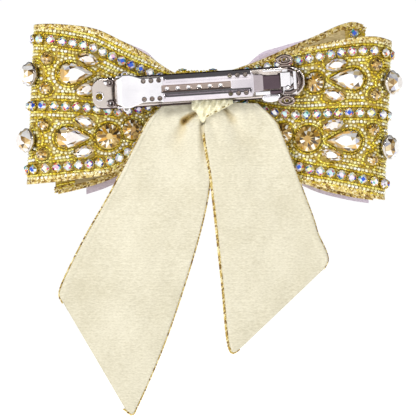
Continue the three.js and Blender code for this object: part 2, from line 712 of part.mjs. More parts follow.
for (const side of ['left', 'right']) {
  const loop = loopSurfaces[side];
  const seam = 0.4 / loop.pathLength;
  const backBand = clothPanel(loop, { from: 0, to: loop.fold - seam, steps: 16, rows: 6, half: BAND_HALF });
  const returnBand = clothPanel(loop, { from: loop.fold + seam, to: 1, steps: 12, rows: 6, half: RETURN_HALF });
  addMesh(clip, `${side}_back_band`, backBand, MATERIALS.beadwork);
  addMesh(clip, `${side}_return_band`, returnBand, MATERIALS.beadwork);

  const wing = panelSurface({ ...WINGS[side], plan: planOfWing(WINGS[side].reach) });
  const stiffenerOffset = WING_HALF + GAP + STIFFENER_HALF;
  const liningOffset = stiffenerOffset + STIFFENER_HALF + GAP + LINING_HALF;
  const sheets = {
    front_wing: [{ from: 0, to: 1, half: WING_HALF }, MATERIALS.beadwork],
    stiffener: [{ ...STIFFENER, half: STIFFENER_HALF, offset: stiffenerOffset }, MATERIALS.stiffener],
    lining: [{ ...LINING, half: LINING_HALF, offset: liningOffset }, MATERIALS.lining],
  };
  for (const [name, [options, material]] of Object.entries(sheets)) {
    addMesh(clip, `${side}_${name}`, clothPanel(wing, { steps: 10, rows: 5, ...options }), material);
  }
  for (const [rowName, row] of Object.entries(CHAIN_ROWS)) {
    addMesh(clip, `${side}_${rowName}_chain`, chainGeometry(side, row), MATERIALS.auroraCrystal);
  }
}

for (const laneName of Object.keys(LANES)) {
  for (const [name, geometry] of laneStones(laneName)) {
    addMesh(clip, name, geometry, MATERIALS.crystal);
  }
}

addMesh(clip, 'knot_wrap', knotWrap(), MATERIALS.knot);
addMesh(clip, 'knot_band', knotBand(), MATERIALS.beadwork);
for (const [name, edges] of Object.entries(TAILS)) {
  addMesh(clip, name, tail(edges), MATERIALS.satin);
}

export default clip;
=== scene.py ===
import itertools
import math
import random
from collections import namedtuple

import bmesh
import bpy
import numpy as np
from mathutils import Matrix, Vector


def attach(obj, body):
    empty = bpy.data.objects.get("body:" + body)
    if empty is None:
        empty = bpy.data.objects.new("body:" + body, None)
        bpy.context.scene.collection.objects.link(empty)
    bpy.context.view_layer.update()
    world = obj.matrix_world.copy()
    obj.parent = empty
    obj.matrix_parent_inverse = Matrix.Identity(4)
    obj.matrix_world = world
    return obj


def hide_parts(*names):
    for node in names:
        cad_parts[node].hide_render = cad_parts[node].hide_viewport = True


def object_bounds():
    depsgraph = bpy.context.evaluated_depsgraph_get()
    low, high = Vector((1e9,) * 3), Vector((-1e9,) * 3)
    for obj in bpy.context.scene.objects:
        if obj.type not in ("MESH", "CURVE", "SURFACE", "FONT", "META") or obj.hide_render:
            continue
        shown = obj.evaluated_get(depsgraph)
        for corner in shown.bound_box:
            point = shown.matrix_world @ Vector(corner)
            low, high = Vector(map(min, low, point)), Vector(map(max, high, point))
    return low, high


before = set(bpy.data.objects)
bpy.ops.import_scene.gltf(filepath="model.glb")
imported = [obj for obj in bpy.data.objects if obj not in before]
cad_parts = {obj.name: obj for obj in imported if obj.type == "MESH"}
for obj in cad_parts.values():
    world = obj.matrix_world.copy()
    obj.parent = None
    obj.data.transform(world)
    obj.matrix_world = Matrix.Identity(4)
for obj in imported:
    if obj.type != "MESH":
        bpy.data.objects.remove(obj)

CAD_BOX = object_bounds()
MM = 0.001
chance = random.Random(480)

# ---------------------------------------------------------------- the bow's shape, in millimetres

GAP = 0.3
BAND_HALF = 1.2
WING_HALF = 1.0
FOLD_RADIUS = 7.6
FOLD_CENTRE_Y = 12.2
LOOP_LEAN = 0.045
INNER_END = 0.8
PINCH_TOP = [(0, 4.4), (9, 5.4)]
PINCH_BOTTOM = [(0, -10.5), (9, -10.8)]

LOOPS = {
    "left": dict(
        sign=-1, reach=61.6,
        top=PINCH_TOP + [(20, 12), (30, 17.4), (40, 21.8), (53, 23.4), (62, 23.6)],
        bottom=PINCH_BOTTOM + [(20, -23), (30, -31), (45, -34), (62, -36)]),
    "right": dict(
        sign=1, reach=71.2,
        top=PINCH_TOP + [(30, 12.1), (53, 17.6), (65, 18.8), (72, 17.3)],
        bottom=PINCH_BOTTOM + [(24, -25), (38, -34.3), (53, -37.9), (72, -42)]),
}
WINGS = {
    "left": dict(
        sign=-1, reach=54, lean=0,
        top=PINCH_TOP + [(20, 12.8), (30, 18), (42, 21), (56, 21.5)],
        bottom=PINCH_BOTTOM + [(20, -23.6), (30, -31.8), (41, -36.2), (56, -39.8)],
        stiffener=dict(to=0.78, below=3.4, above=2.4)),
    "right": dict(
        sign=1, reach=65, lean=-0.064,
        top=PINCH_TOP + [(20, 8.6), (47, 20), (60, 24.9), (66, 23.2)],
        bottom=PINCH_BOTTOM + [(24, -25.5), (39.4, -35.5), (53, -39.6), (68, -42)],
        stiffener=dict(to=0.96, below=2.2, above=4.4)),
}
CHAIN_ROWS = {                     # shares of the band's height, at the knot and at the outer end
    "top": dict(left=(0.8, 0.914), right=(0.92, 0.915)),
    "middle": dict(left=(0.42, 0.49), right=(0.46, 0.528)),
    "bottom": dict(left=(0.085, 0.085), right=(0.12, 0.095)),
}
CHAIN_PITCH = 4.0
LANES = {
    "left_upper": dict(loop="left", across=0.69, large_rounds=[]),
    "left_lower": dict(loop="left", across=0.27, large_rounds=[(28.5, 4.7), (37.6, 3.8)]),
    "right_upper": dict(loop="right", across=0.735, large_rounds=[(27.2, 3.6)]),
    "right_lower": dict(loop="right", across=0.325, large_rounds=[(28.6, 4.8), (38, 3.7)]),
}
SMALL_ROUND = dict(inward=5, offset=5.6, radius=2.2, height=2.2)
PEAR = dict(inward=15.6, length=13.2, width=8.8, height=3.2)
MARQUISE = dict(inward=19.6, offset=5.6, length=8.8, width=4.6, height=2.4, turn=0.3)
END_ROUND = dict(radius=4.5, height=5.2, before_fold=3.8)
LARGE_ROUND = dict(height=3.0, facets=14)


# ---------------------------------------------------------------- curves and surfaces

def smooth_step(value):
    value = min(max(value, 0.0), 1.0)
    return value * value * (3 - 2 * value)


def smooth_through(points):
    """A height that varies smoothly with distance, through (distance, height) points."""
    xs = np.array([x for x, _ in points], float)
    ys = np.array([y for _, y in points], float)
    before = np.maximum(np.arange(len(xs)) - 1, 0)
    after = np.minimum(np.arange(len(xs)) + 1, len(xs) - 1)
    slopes = (ys[after] - ys[before]) / (xs[after] - xs[before])

    def value(distance):
        i = np.clip(np.searchsorted(xs, distance) - 1, 0, len(xs) - 2)
        span = xs[i + 1] - xs[i]
        t = np.clip((distance - xs[i]) / span, 0, 1)
        ease = t * t * (3 - 2 * t)
        bend = slopes[i] * t * (1 - t) ** 2 - slopes[i + 1] * t * t * (1 - t)
        return ys[i] + (ys[i + 1] - ys[i]) * ease + bend * span

    return value


def curve_through(points, steps=24):
    """Points along a centripetal Catmull-Rom curve through the given ones."""
    ends = [2 * np.array(points[0], float) - points[1]]
    control = ends + [np.array(p, float) for p in points] + [2 * np.array(points[-1], float) - points[-2]]
    path = []
    for p0, p1, p2, p3 in zip(control, control[1:], control[2:], control[3:]):
        t0 = 0.0
        t1 = t0 + math.sqrt(np.linalg.norm(p1 - p0))
        t2 = t1 + math.sqrt(np.linalg.norm(p2 - p1))
        t3 = t2 + math.sqrt(np.linalg.norm(p3 - p2))
        for t in np.linspace(t1, t2, steps, endpoint=False):
            a1 = (t1 - t) / (t1 - t0) * p0 + (t - t0) / (t1 - t0) * p1
            a2 = (t2 - t) / (t2 - t1) * p1 + (t - t1) / (t2 - t1) * p2
            a3 = (t3 - t) / (t3 - t2) * p2 + (t - t2) / (t3 - t2) * p3
            b1 = (t2 - t) / (t2 - t0) * a1 + (t - t0) / (t2 - t0) * a2
            b2 = (t3 - t) / (t3 - t1) * a2 + (t - t1) / (t3 - t1) * a3
            path.append((t2 - t) / (t2 - t1) * b1 + (t - t1) / (t2 - t1) * b2)
    path.append(np.array(points[-1], float))
    return np.array(path)


class Panel:
    """A panel of the bow: a plan curve swept in height. Along is millimetres of cloth from the knot."""

    def __init__(self, sign, lean, plan, top, bottom, facing=1):
        self.sign, self.lean, self.facing = sign, lean, facing
        self.follow(plan)
        self.fold = self.arc[np.argmax(self.path[:, 0])]
        self.top_at = smooth_through(top)
        self.bottom_at = smooth_through(bottom)

    def follow(self, plan):
        self.path = curve_through(plan)
        steps = np.linalg.norm(np.diff(self.path, axis=0), axis=1)
        self.arc = np.concatenate([[0], np.cumsum(steps)])
        self.length = self.arc[-1]

    def plan(self, along):
        return np.array([np.interp(along, self.arc, self.path[:, k]) for k in (0, 1)])

    def direction(self, along):
        """The unit vector that the plan curve runs along at a place."""
        reach = 0.2
        ahead = self.plan(min(along + reach, self.length)) - self.plan(max(along - reach, 0))
        return ahead / np.linalg.norm(ahead)

    def along_at(self, distance):
        """Where the outward half of the panel is this far from the middle of the bow."""
        outward = self.arc <= self.fold
        return float(np.interp(distance, self.path[outward, 0], self.arc[outward]))

    def height(self, along, across):
        """The height at a share of the panel's width; a pair of shares runs from the knot to the end."""
        x = self.plan(along)[0]
        if isinstance(across, tuple):
            across = across[0] + (across[1] - across[0]) * x / self.path[:, 0].max()
        return float(self.bottom_at(x) + (self.top_at(x) - self.bottom_at(x)) * across)

    def place(self, along, z, lift=0.0):
        """The point at this place on the panel, lifted off its worn face."""
        along = min(along, self.length - 0.01)
        x, y = self.plan(along)
        ahead = self.direction(along)
        out = np.array([self.sign * ahead[1], -ahead[0], 0.0]) * self.facing
        return np.array([self.sign * x + self.lean * z, y, z]) + out * lift, out

    def basis(self, along, z, heading=(1.0, 0.0), lift=0.0):
        """Origin and axes (heading, sideways, outward) at a place, heading given in (along, height)."""
        origin, out = self.place(along, z, lift)
        step = 0.3
        da, dz = heading
        ahead, _ = self.place(along + step * da, z + step * dz, lift)
        forward = ahead - origin
        forward -= out * forward.dot(out)
        forward /= np.linalg.norm(forward)
        return origin, np.column_stack([forward, np.cross(out, forward), out])


def plan_of_loop(reach):
    centre_x = reach - FOLD_RADIUS
    turn = [math.radians(degrees) for degrees in range(-90, 91, 30)]
    fold = [(centre_x + FOLD_RADIUS * math.cos(a), FOLD_CENTRE_Y + FOLD_RADIUS * math.sin(a)) for a in turn]
    outward = [(INNER_END, 11.2), (9, 11), (25, 9.4), (36, 7.2), (46, 5.4)]
    homeward = [(40, 18.6), (25, 16.6), (9, 13.8), (INNER_END, 13.6)]
    return outward + fold + homeward


def plan_of_wing(reach):
    return [(INNER_END, 17.6), (9, 18), (25, 21), (40, 23.2), (50, 24.3), (reach, 24.6)]


def loop_panel(side):
    loop = LOOPS[side]
    return Panel(loop["sign"], LOOP_LEAN, plan_of_loop(loop["reach"]), loop["top"], loop["bottom"])


def wing_panel(side, facing=-1):
    """A wing's panel; its worn face is the display side, or its hair side when facing is 1."""
    wing = WINGS[side]
    return Panel(wing["sign"], wing["lean"], plan_of_wing(wing["reach"]), wing["top"], wing["bottom"], facing)


# ---------------------------------------------------------------- materials

def srgb(red, green, blue):
    """A colour given in 0..255 as a screen shows it, in linear light."""
    def linear(value):
        value /= 255
        return value / 12.92 if value <= 0.04045 else ((value + 0.055) / 1.055) ** 2.4
    return (linear(red), linear(green), linear(blue), 1.0)


class Material:
    """A Principled material and a short way to add nodes to it."""

    def __init__(self, name, **values):
        self.data = bpy.data.materials.new(name)
        self.data.use_nodes = True
        self.tree = self.data.node_tree
        self.shader = self.tree.nodes["Principled BSDF"]
        for key, value in values.items():
            self.shader.inputs[key.replace("_", " ")].default_value = value

    def node(self, kind, inputs=None, **settings):
        made = self.tree.nodes.new(kind)
        for key, value in settings.items():
            setattr(made, key, value)
        for key, value in (inputs or {}).items():
            if isinstance(value, bpy.types.NodeSocket):
                self.tree.links.new(value, made.inputs[key])
            else:
                made.inputs[key].default_value = value
        return made

    def link(self, socket, name):
        self.tree.links.new(socket, self.shader.inputs[name])

    def place(self, scale=(1.0, 1.0, 1.0)):
        """Object coordinates in millimetres, stretched by scale."""
        coordinates = self.node("ShaderNodeTexCoord").outputs["Object"]
        sizes = tuple(s / MM for s in scale)
        return self.node("ShaderNodeMapping", {"Vector": coordinates, "Scale": sizes}).outputs["Vector"]

    def noise(self, scale, detail=3.0, stretch=(1.0, 1.0, 1.0)):
        inputs = {"Vector": self.place(stretch), "Scale": scale, "Detail": detail}
        return self.node("ShaderNodeTexNoise", inputs).outputs["Fac"]

    def ramp(self, fac, stops):
        made = self.node("ShaderNodeValToRGB", {"Fac": fac})
        for element, (position, colour) in zip(made.color_ramp.elements, stops):
            element.position = position
            element.color = colour
        for position, colour in stops[2:]:
            made.color_ramp.elements.new(position).color = colour
        return made.outputs["Color"]

    def bump(self, height, strength, distance_mm):
        inputs = {"Height": height, "Strength": strength, "Distance": distance_mm * MM}
        self.link(self.node("ShaderNodeBump", inputs).outputs["Normal"], "Normal")

    def math(self, operation, a, b):
        return self.node("ShaderNodeMath", {0: a, 1: b}, operation=operation).outputs[0]

    def multiply(self, fac, a, b):
        """Colour a, multiplied by colour b as far as fac says."""
        inputs = {0: fac, 6: a, 7: b}
        return self.node("ShaderNodeMix", inputs, data_type="RGBA", blend_type="MULTIPLY").outputs[2]

    def tint(self):
        """The colour that the mesh carries face by face."""
        return self.node("ShaderNodeAttribute", attribute_name="tint").outputs["Color"]


def tinted(name, wear_scale=2.0, **values):
    """A material whose colour comes from the mesh's own tint, with a little unevenness."""
    made = Material(name, **values)
    tint = made.tint()
    shade = made.ramp(made.noise(wear_scale), [(0.3, (0.82, 0.82, 0.82, 1)), (0.7, (1, 1, 1, 1))])
    made.link(made.multiply(1.0, tint, shade), "Base Color")
    return made.data


def nickel_material():
    made = Material("nickel", Metallic=1.0)
    tint = made.tint()
    shade = made.ramp(made.noise(0.12, 4), [(0.3, srgb(236, 234, 238)), (0.7, srgb(255, 254, 255))])
    made.link(made.multiply(1.0, tint, shade), "Base Color")
    scratches = made.noise(1.0, 2, (0.15, 2.0, 6.0))
    rough = made.node("ShaderNodeMapRange", {"Value": scratches, "To Min": 0.12, "To Max": 0.3}).outputs[0]
    made.link(rough, "Roughness")
    made.bump(scratches, 0.08, 0.05)
    return made.data


THREAD_PITCH = 0.28


def satin_material(name, pale, deep, sheen=0.4, shaded_folds=False):
    """Satin ribbon: fine threads across it, slubs, and a soft cloudiness.

    Satin with painted fold shade also takes the mesh's tint, a gold shade painted into its folds."""
    made = Material(name, Roughness=0.42, Sheen_Weight=sheen, Sheen_Roughness=0.35)
    clouds = made.noise(0.06, 4)
    slubs = made.noise(1.0, 4, (0.8, 0.8, 2.6))
    both = made.math("ADD", made.math("MULTIPLY", clouds, 0.4), made.math("MULTIPLY", slubs, 0.6))
    cloth = made.ramp(both, [(0.36, deep), (0.6, pale)])
    place = made.place((0.35, 0.35, 1.0))
    wave = {"Vector": place, "Scale": 1 / (THREAD_PITCH * 6.28), "Distortion": 1.2, "Detail": 2.0,
            "Detail Scale": 1.5}
    threads = made.node("ShaderNodeTexWave", wave, wave_type="BANDS", bands_direction="Z").outputs["Fac"]
    specks = made.noise(2.6, 2, (0.5, 0.5, 1.6))
    weave = made.math("ADD", made.math("MULTIPLY", threads, 0.22), made.math("MULTIPLY", specks, 0.78))
    shade = made.ramp(weave, [(0.3, (0.86, 0.85, 0.81, 1)), (0.62, (1.06, 1.06, 1.06, 1))])
    colour = made.multiply(1.0, cloth, shade)
    # painted shade: the mesh's tint darkens the satin to gold in its creases
    if shaded_folds:
        colour = made.multiply(1.0, colour, made.tint())
    made.link(colour, "Base Color")
    relief = made.math("ADD", made.math("MULTIPLY", threads, 0.4), slubs)
    made.bump(relief, 0.4, 0.12)
    return made.data


def braid_material():
    made = Material("gold_braid", Metallic=0.45, Roughness=0.36)
    tint = made.tint()
    strands = made.noise(3.0, 2)
    shade = made.ramp(strands, [(0.3, srgb(190, 164, 112)), (0.55, srgb(255, 252, 236))])
    made.link(made.multiply(0.8, tint, shade), "Base Color")
    made.bump(strands, 0.5, 0.12)
    return made.data


MATERIALS = {                      # by slot name
    "nickel": nickel_material(),
    "gold_seed_bead": tinted("gold_bead", Metallic=0.5, Roughness=0.2, Coat_Weight=0.6, Coat_Roughness=0.05),
    "clear_seed_bead": tinted("clear_bead", Metallic=0.35, Roughness=0.12, Coat_Weight=1.0,
                              Coat_Roughness=0.03),
    "champagne_crystal": tinted("crystal", 0.8, Metallic=0.45, Roughness=0.06, Coat_Weight=1.0,
                                Coat_Roughness=0.02),
    "gold_cup": tinted("gold_cup", Metallic=1.0, Roughness=0.22),
    "gold_braid": braid_material(),
    "ribbon_satin": satin_material("ribbon_satin", srgb(214, 208, 187), srgb(195, 188, 164), shaded_folds=True),
    "knot_satin": satin_material("knot_satin", srgb(238, 234, 206), srgb(212, 204, 164)),
    "lining_satin": satin_material("lining_satin", srgb(196, 178, 132), srgb(158, 137, 90), sheen=0.2),
    "stiffener": satin_material("stiffener_felt", srgb(222, 210, 224), srgb(198, 183, 203), sheen=0.1),
    "beaded_cloth": satin_material("bead_ground", srgb(196, 172, 84), srgb(140, 112, 36), sheen=0.1),
}
MATERIALS["aurora_crystal"] = MATERIALS["champagne_crystal"]

# Tints are drawn at random from these lists; a tint that stands more than once is that much commoner.
GOLD_TINTS = [srgb(230, 204, 46), srgb(214, 184, 34), srgb(242, 224, 90), srgb(188, 156, 26),
              srgb(248, 236, 132)]
CLEAR_TINTS = [srgb(255, 251, 222), srgb(242, 233, 180), srgb(255, 255, 244), srgb(222, 206, 138),
               srgb(250, 243, 190)]
CUP_TINTS = [srgb(206, 176, 60), srgb(222, 196, 90)]
SILVER_TINTS = [srgb(222, 214, 204), srgb(184, 172, 158)]
# Stone tints: each stone's own colour mixed with painted light, near-white facets and pale tables as painted
# glints, very dark facets as painted dark reflections.
PALE_GLINT_TINTS = [srgb(255, 254, 252), srgb(246, 242, 238), srgb(238, 230, 224)]
CHAMPAGNE_AND_GLINT_TINTS = ([srgb(250, 248, 246)] * 5 + [srgb(222, 200, 156)] * 3 + [srgb(196, 160, 96)] * 2
                   + [srgb(144, 110, 54), srgb(90, 68, 40), srgb(236, 190, 110), srgb(196, 196, 212)])
AMBER_TINTS = [srgb(190, 150, 74), srgb(222, 190, 120), srgb(170, 130, 60)]
SMOKY_AND_GLINT_TINTS = ([srgb(176, 138, 62)] * 4 + [srgb(120, 88, 36)] * 3 + [srgb(222, 190, 120)] * 3
               + [srgb(250, 246, 232)] * 2 + [srgb(214, 156, 34), srgb(66, 48, 26), srgb(70, 52, 30)])
AURORA_AND_GLINT_TINTS = ([srgb(250, 250, 252)] * 6 + [srgb(226, 214, 240)] * 2 + [srgb(206, 236, 236)] * 2
                + [srgb(244, 232, 140)] * 2 + [srgb(20, 70, 190), srgb(30, 60, 170), srgb(222, 40, 120),
                                              srgb(240, 130, 70), srgb(120, 108, 96), srgb(60, 180, 170)])
AURORA_AND_GLINT_TABLES = ([srgb(252, 252, 252)] * 6 + [srgb(236, 226, 244)] * 2
                 + [srgb(16, 84, 206), srgb(246, 240, 176), srgb(196, 234, 234), srgb(226, 180, 206)])

# ---------------------------------------------------------------- meshes

def new_piece(name, points_mm, faces, slot_name, body="root", tints=None, smooth=True):
    """A piece from points in millimetres. tints holds one colour per face."""
    mesh = bpy.data.meshes.new(name)
    mesh.from_pydata((np.asarray(points_mm, float) * MM).tolist(), [], [list(map(int, f)) for f in faces])
    mesh.update()
    if tints is not None:
        sizes = [len(f) for f in faces]
        colours = np.repeat(np.asarray(tints, np.float32), sizes, axis=0)
        layer = mesh.color_attributes.new("tint", "FLOAT_COLOR", "CORNER")
        layer.data.foreach_set("color", colours.ravel())
    mesh.shade_smooth() if smooth else mesh.shade_flat()
    piece = bpy.data.objects.new(name, mesh)
    bpy.context.collection.objects.link(piece)
    mesh.materials.append(MATERIALS[slot_name])
    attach(piece, body)
    return piece


def face_up(points, faces):
    """How squarely each face of a template looks along z: 1 for a stone's table, 0 for its girdle."""
    shares = []
    for face in faces:
        a, b, c = (np.array(points[i]) for i in face[:3])
        normal = np.cross(b - a, c - a)
        shares.append(abs(normal[2]) / max(np.linalg.norm(normal), 1e-9))
    return shares


def stamp(name, template, frames, tint_choices, slot_name, tables=None):
    """One piece holding a copy of the template at every frame (origin, axes).

    With tables given it is a cut stone: each facet is flat and draws its own tint, a top one from tables;
    these tints lay painted glints and dark reflections over the stone's colour."""
    points, faces = template
    upward = face_up(points, faces) if tables else None
    all_points = np.concatenate([points @ axes.T + origin for origin, axes in frames])
    starts = [copy * len(points) for copy in range(len(frames))]
    all_faces = [[index + start for index in face] for start in starts for face in faces]
    tints = []
    for _ in frames:
        if tables:
            table = chance.choice(tables)
            tints += [table if up > 0.98 else chance.choice(tint_choices) for up in upward]
        else:
            tints += [chance.choice(tint_choices)] * len(faces)
    return new_piece(name, all_points, all_faces, slot_name, tints=tints, smooth=tables is None)


def turned(profile, sides, axis=0):
    """A closed body of revolution about an axis (0 = x, 2 = z), from (distance along it, radius) pairs."""
    points = []
    for position, radius in profile:
        for k in range(sides):
            angle = 2 * math.pi * k / sides
            ring = [position, radius * math.cos(angle), radius * math.sin(angle)]
            points.append(ring if axis == 0 else [ring[1], ring[2], ring[0]])
    faces = []
    for ring in range(len(profile) - 1):
        for k in range(sides):
            a, b = ring * sides + k, ring * sides + (k + 1) % sides
            faces.append([a, a + sides, b + sides, b])
    faces.append(list(range(sides)))
    faces.append(list(reversed(range((len(profile) - 1) * sides, len(profile) * sides))))
    return np.array(points), faces


def tube_faces(rings, sides, closed=True):
    """Faces that join rings of points in turn, and the last ring to the first when the tube is closed."""
    faces = []
    for ring in range(rings if closed else rings - 1):
        following = (ring + 1) % rings
        for k in range(sides):
            after = (k + 1) % sides
            faces.append([ring * sides + k, ring * sides + after,
                          following * sides + after, following * sides + k])
    return faces


def barrel(half, bevel, radius, tip):
    """The profile of a short cylinder with bevelled ends, for turned()."""
    return [(-half, tip), (bevel - half, radius), (half - bevel, radius), (half, tip)]


def hull_of(points):
    """The convex hull of some points, as a template with flat facets."""
    work = bmesh.new()
    for point in points:
        work.verts.new(point)
    bmesh.ops.convex_hull(work, input=work.verts[:])
    loose = [v for v in work.verts if not v.link_faces]
    bmesh.ops.delete(work, geom=loose, context="VERTS")
    work.verts.index_update()
    result = np.array([v.co[:] for v in work.verts]), [[v.index for v in f.verts] for f in work.faces]
    work.free()
    return result


def joined(*templates):
    """Several templates as one."""
    points, faces, start = [], [], 0
    for some_points, some_faces in templates:
        points.append(np.asarray(some_points))
        faces += [[index + start for index in face] for face in some_faces]
        start += len(some_points)
    return np.concatenate(points), faces


def moved(template, offset, turn=0.0):
    """A template turned about z, then moved."""
    points, faces = template
    rotation = np.array(Matrix.Rotation(turn, 3, "Z"))
    return points @ rotation.T + np.array(offset), faces


BEADS = {
    "gold": turned([(-0.66, 0.3), (-0.4, 0.54), (0.4, 0.54), (0.66, 0.3)], 8),
    "clear": turned([(-0.6, 0.34), (-0.36, 0.62), (0.36, 0.62), (0.6, 0.34)], 8),
}
BEAD_PITCH = {"gold": 1.28, "clear": 1.42}
ROW_PITCH = 1.12
FIRST_ROW = 2.3                    # from a chain row's middle to the nearest row of beads
ROWS_BESIDE_CHAIN = 14
TWO_RING_WIDTH = 7                 # a stone wider than this has a second ring of beads
GRAIN = turned([(-0.6, 0.1), (-0.3, 0.34), (0.3, 0.34), (0.6, 0.1)], 6)


# ---------------------------------------------------------------- crystals

def girdle_point(shape, angle, length, width):
    """A point of a stone's outline: round (an end stone too), pear with its tip at +x, or marquise."""
    x, y = math.cos(angle), math.sin(angle)
    if shape == "pear":
        y *= 1.25 * abs(math.sin(angle / 2)) ** 1.3
    if shape == "marquise":
        y *= abs(y) ** 0.5
    return length / 2 * x, width / 2 * y


def girdle_points(cut, count, level, scale, stagger=0):
    """Points round a stone at a level, both level and scale being shares of the stone's size."""
    points = []
    for k in range(count):
        x, y = girdle_point(cut.shape, 2 * math.pi * (k + stagger) / count, cut.length, cut.width)
        points.append((x * scale, y * scale, level * cut.height))
    return points


def cut_stone(cut, table=0.52):
    """A stone with a table, star and main facets and a girdle; its seat is at z = 0."""
    points = []
    girdle = 0.97
    for level, scale, count, stagger in [(0.3, 0.9, 2 * cut.facets, 0), (0.46, girdle, 2 * cut.facets, 0),
                                         (0.8, (table + girdle) / 2, cut.facets, 0.5),
                                         (1.0, table, cut.facets, 0)]:
        points += girdle_points(cut, count, level, scale, stagger)
    return hull_of(points)


def cup_for(cut):
    """The metal cup under a stone and the claws that hold its edge."""
    sides = 20
    rings = [(0.0, 0.84), (0.2, 0.98), (0.44, 1.03), (0.44, 0.93), (0.2, 0.86)]
    points = []
    for level, scale in rings:
        points += girdle_points(cut, sides, level, scale)
    parts = [(np.array(points), tube_faces(len(rings), sides))]
    claw = turned([(-0.5, 0.2), (-0.3, 0.34), (0.35, 0.3), (0.6, 0.12)], 6)
    for angle in cut.claws:
        x, y = girdle_point(cut.shape, angle, cut.length, cut.width)
        parts.append(moved(claw, (x * 0.98, y * 0.98, cut.height * 0.52), turn=math.atan2(-y, -x)))
    return joined(*parts)


Cut = namedtuple("Cut", "shape length width height facets claws")      # claws are angles round the girdle
Stone = namedtuple("Stone", "name cut along z turn")                   # a stone and its place on a panel

FOUR_CLAWS = [math.pi / 4 + math.pi / 2 * k for k in range(4)]
TIP_CLAWS = [0.0, math.pi]


def round_cut(radius, height, facets, shape="round"):
    return Cut(shape, 2 * radius, 2 * radius, height, facets, FOUR_CLAWS)


CUTS = {
    "end_round": round_cut(END_ROUND["radius"], END_ROUND["height"], 8, "end"),
    "pear": Cut("pear", PEAR["length"], PEAR["width"], PEAR["height"], 10, [0.0, 2.0, math.pi, 4.28]),
    "small_round": round_cut(SMALL_ROUND["radius"], SMALL_ROUND["height"], 8),
    "marquise": Cut("marquise", MARQUISE["length"], MARQUISE["width"], MARQUISE["height"], 8, TIP_CLAWS),
}


def lane_stones(lane_name, panel, reach):
    """Each crystal of a lane. Small rounds and marquises stand in pairs, above and below its middle."""
    lane = LANES[lane_name]
    sign = LOOPS[lane["loop"]]["sign"]
    stones = []

    def add(name, cut, along, offset=0.0, turn=0.0):
        z = panel.height(along, lane["across"]) + offset
        stones.append(Stone(f"{name}_{lane_name}", cut, along, z, turn))

    add("end_round", CUTS["end_round"], panel.fold - END_ROUND["before_fold"])
    add("pear", CUTS["pear"], panel.along_at(reach - PEAR["inward"]))
    for where, side in (("high", 1), ("low", -1)):
        small_at = panel.along_at(reach - SMALL_ROUND["inward"])
        add(f"small_round_{where}", CUTS["small_round"], small_at, side * SMALL_ROUND["offset"])
        along = panel.along_at(reach - MARQUISE["inward"])
        turn = sign * side * MARQUISE["turn"]
        add(f"marquise_{where}", CUTS["marquise"], along, side * MARQUISE["offset"], turn)
    for count, (inward, radius) in enumerate(lane["large_rounds"], 1):
        cut = round_cut(radius, LARGE_ROUND["height"], LARGE_ROUND["facets"])
        add(f"large_round_{count}", cut, panel.along_at(reach - inward))
    return stones


def crystals_of(side, panel, reach):
    """Every crystal of both lanes on one side of the bow."""
    lanes = [name for name, lane in LANES.items() if lane["loop"] == side]
    return [stone for name in lanes for stone in lane_stones(name, panel, reach)]


PANELS = {side: loop_panel(side) for side in LOOPS}
WING_PANELS = {side: wing_panel(side) for side in WINGS}


def stone_frame(panel, along, z, turn, lift):
    """Where a stone sits: its +x points to the knot."""
    origin, axes = panel.basis(along, z, (-1.0, 0.0), lift)
    spin = np.array(Matrix.Rotation(turn, 3, "Z"))
    return origin, axes @ spin


def set_stones(panel, stones, lift, replace=True):
    """Every stone of a lane with its cup; each replaces its CAD solid where there is one."""
    for name, cut, along, z, turn in stones:
        seat = stone_frame(panel, along, z, turn, lift)
        # the facet tints paint glints and dark reflections over each stone's colour
        if cut.shape == "round":
            table, tints, tables = 0.26, SMOKY_AND_GLINT_TINTS, AMBER_TINTS
        else:
            table, tints, tables = 0.5, CHAMPAGNE_AND_GLINT_TINTS, PALE_GLINT_TINTS
        stone = stamp(f"crystal_{name}", cut_stone(cut, table), [seat], tints, "champagne_crystal", tables)
        cup_tints = SILVER_TINTS if cut.shape == "end" else CUP_TINTS
        stamp(f"cup_{name}", cup_for(cut), [seat], cup_tints, "gold_cup")
        if replace:
            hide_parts(name)


# ---------------------------------------------------------------- beadwork

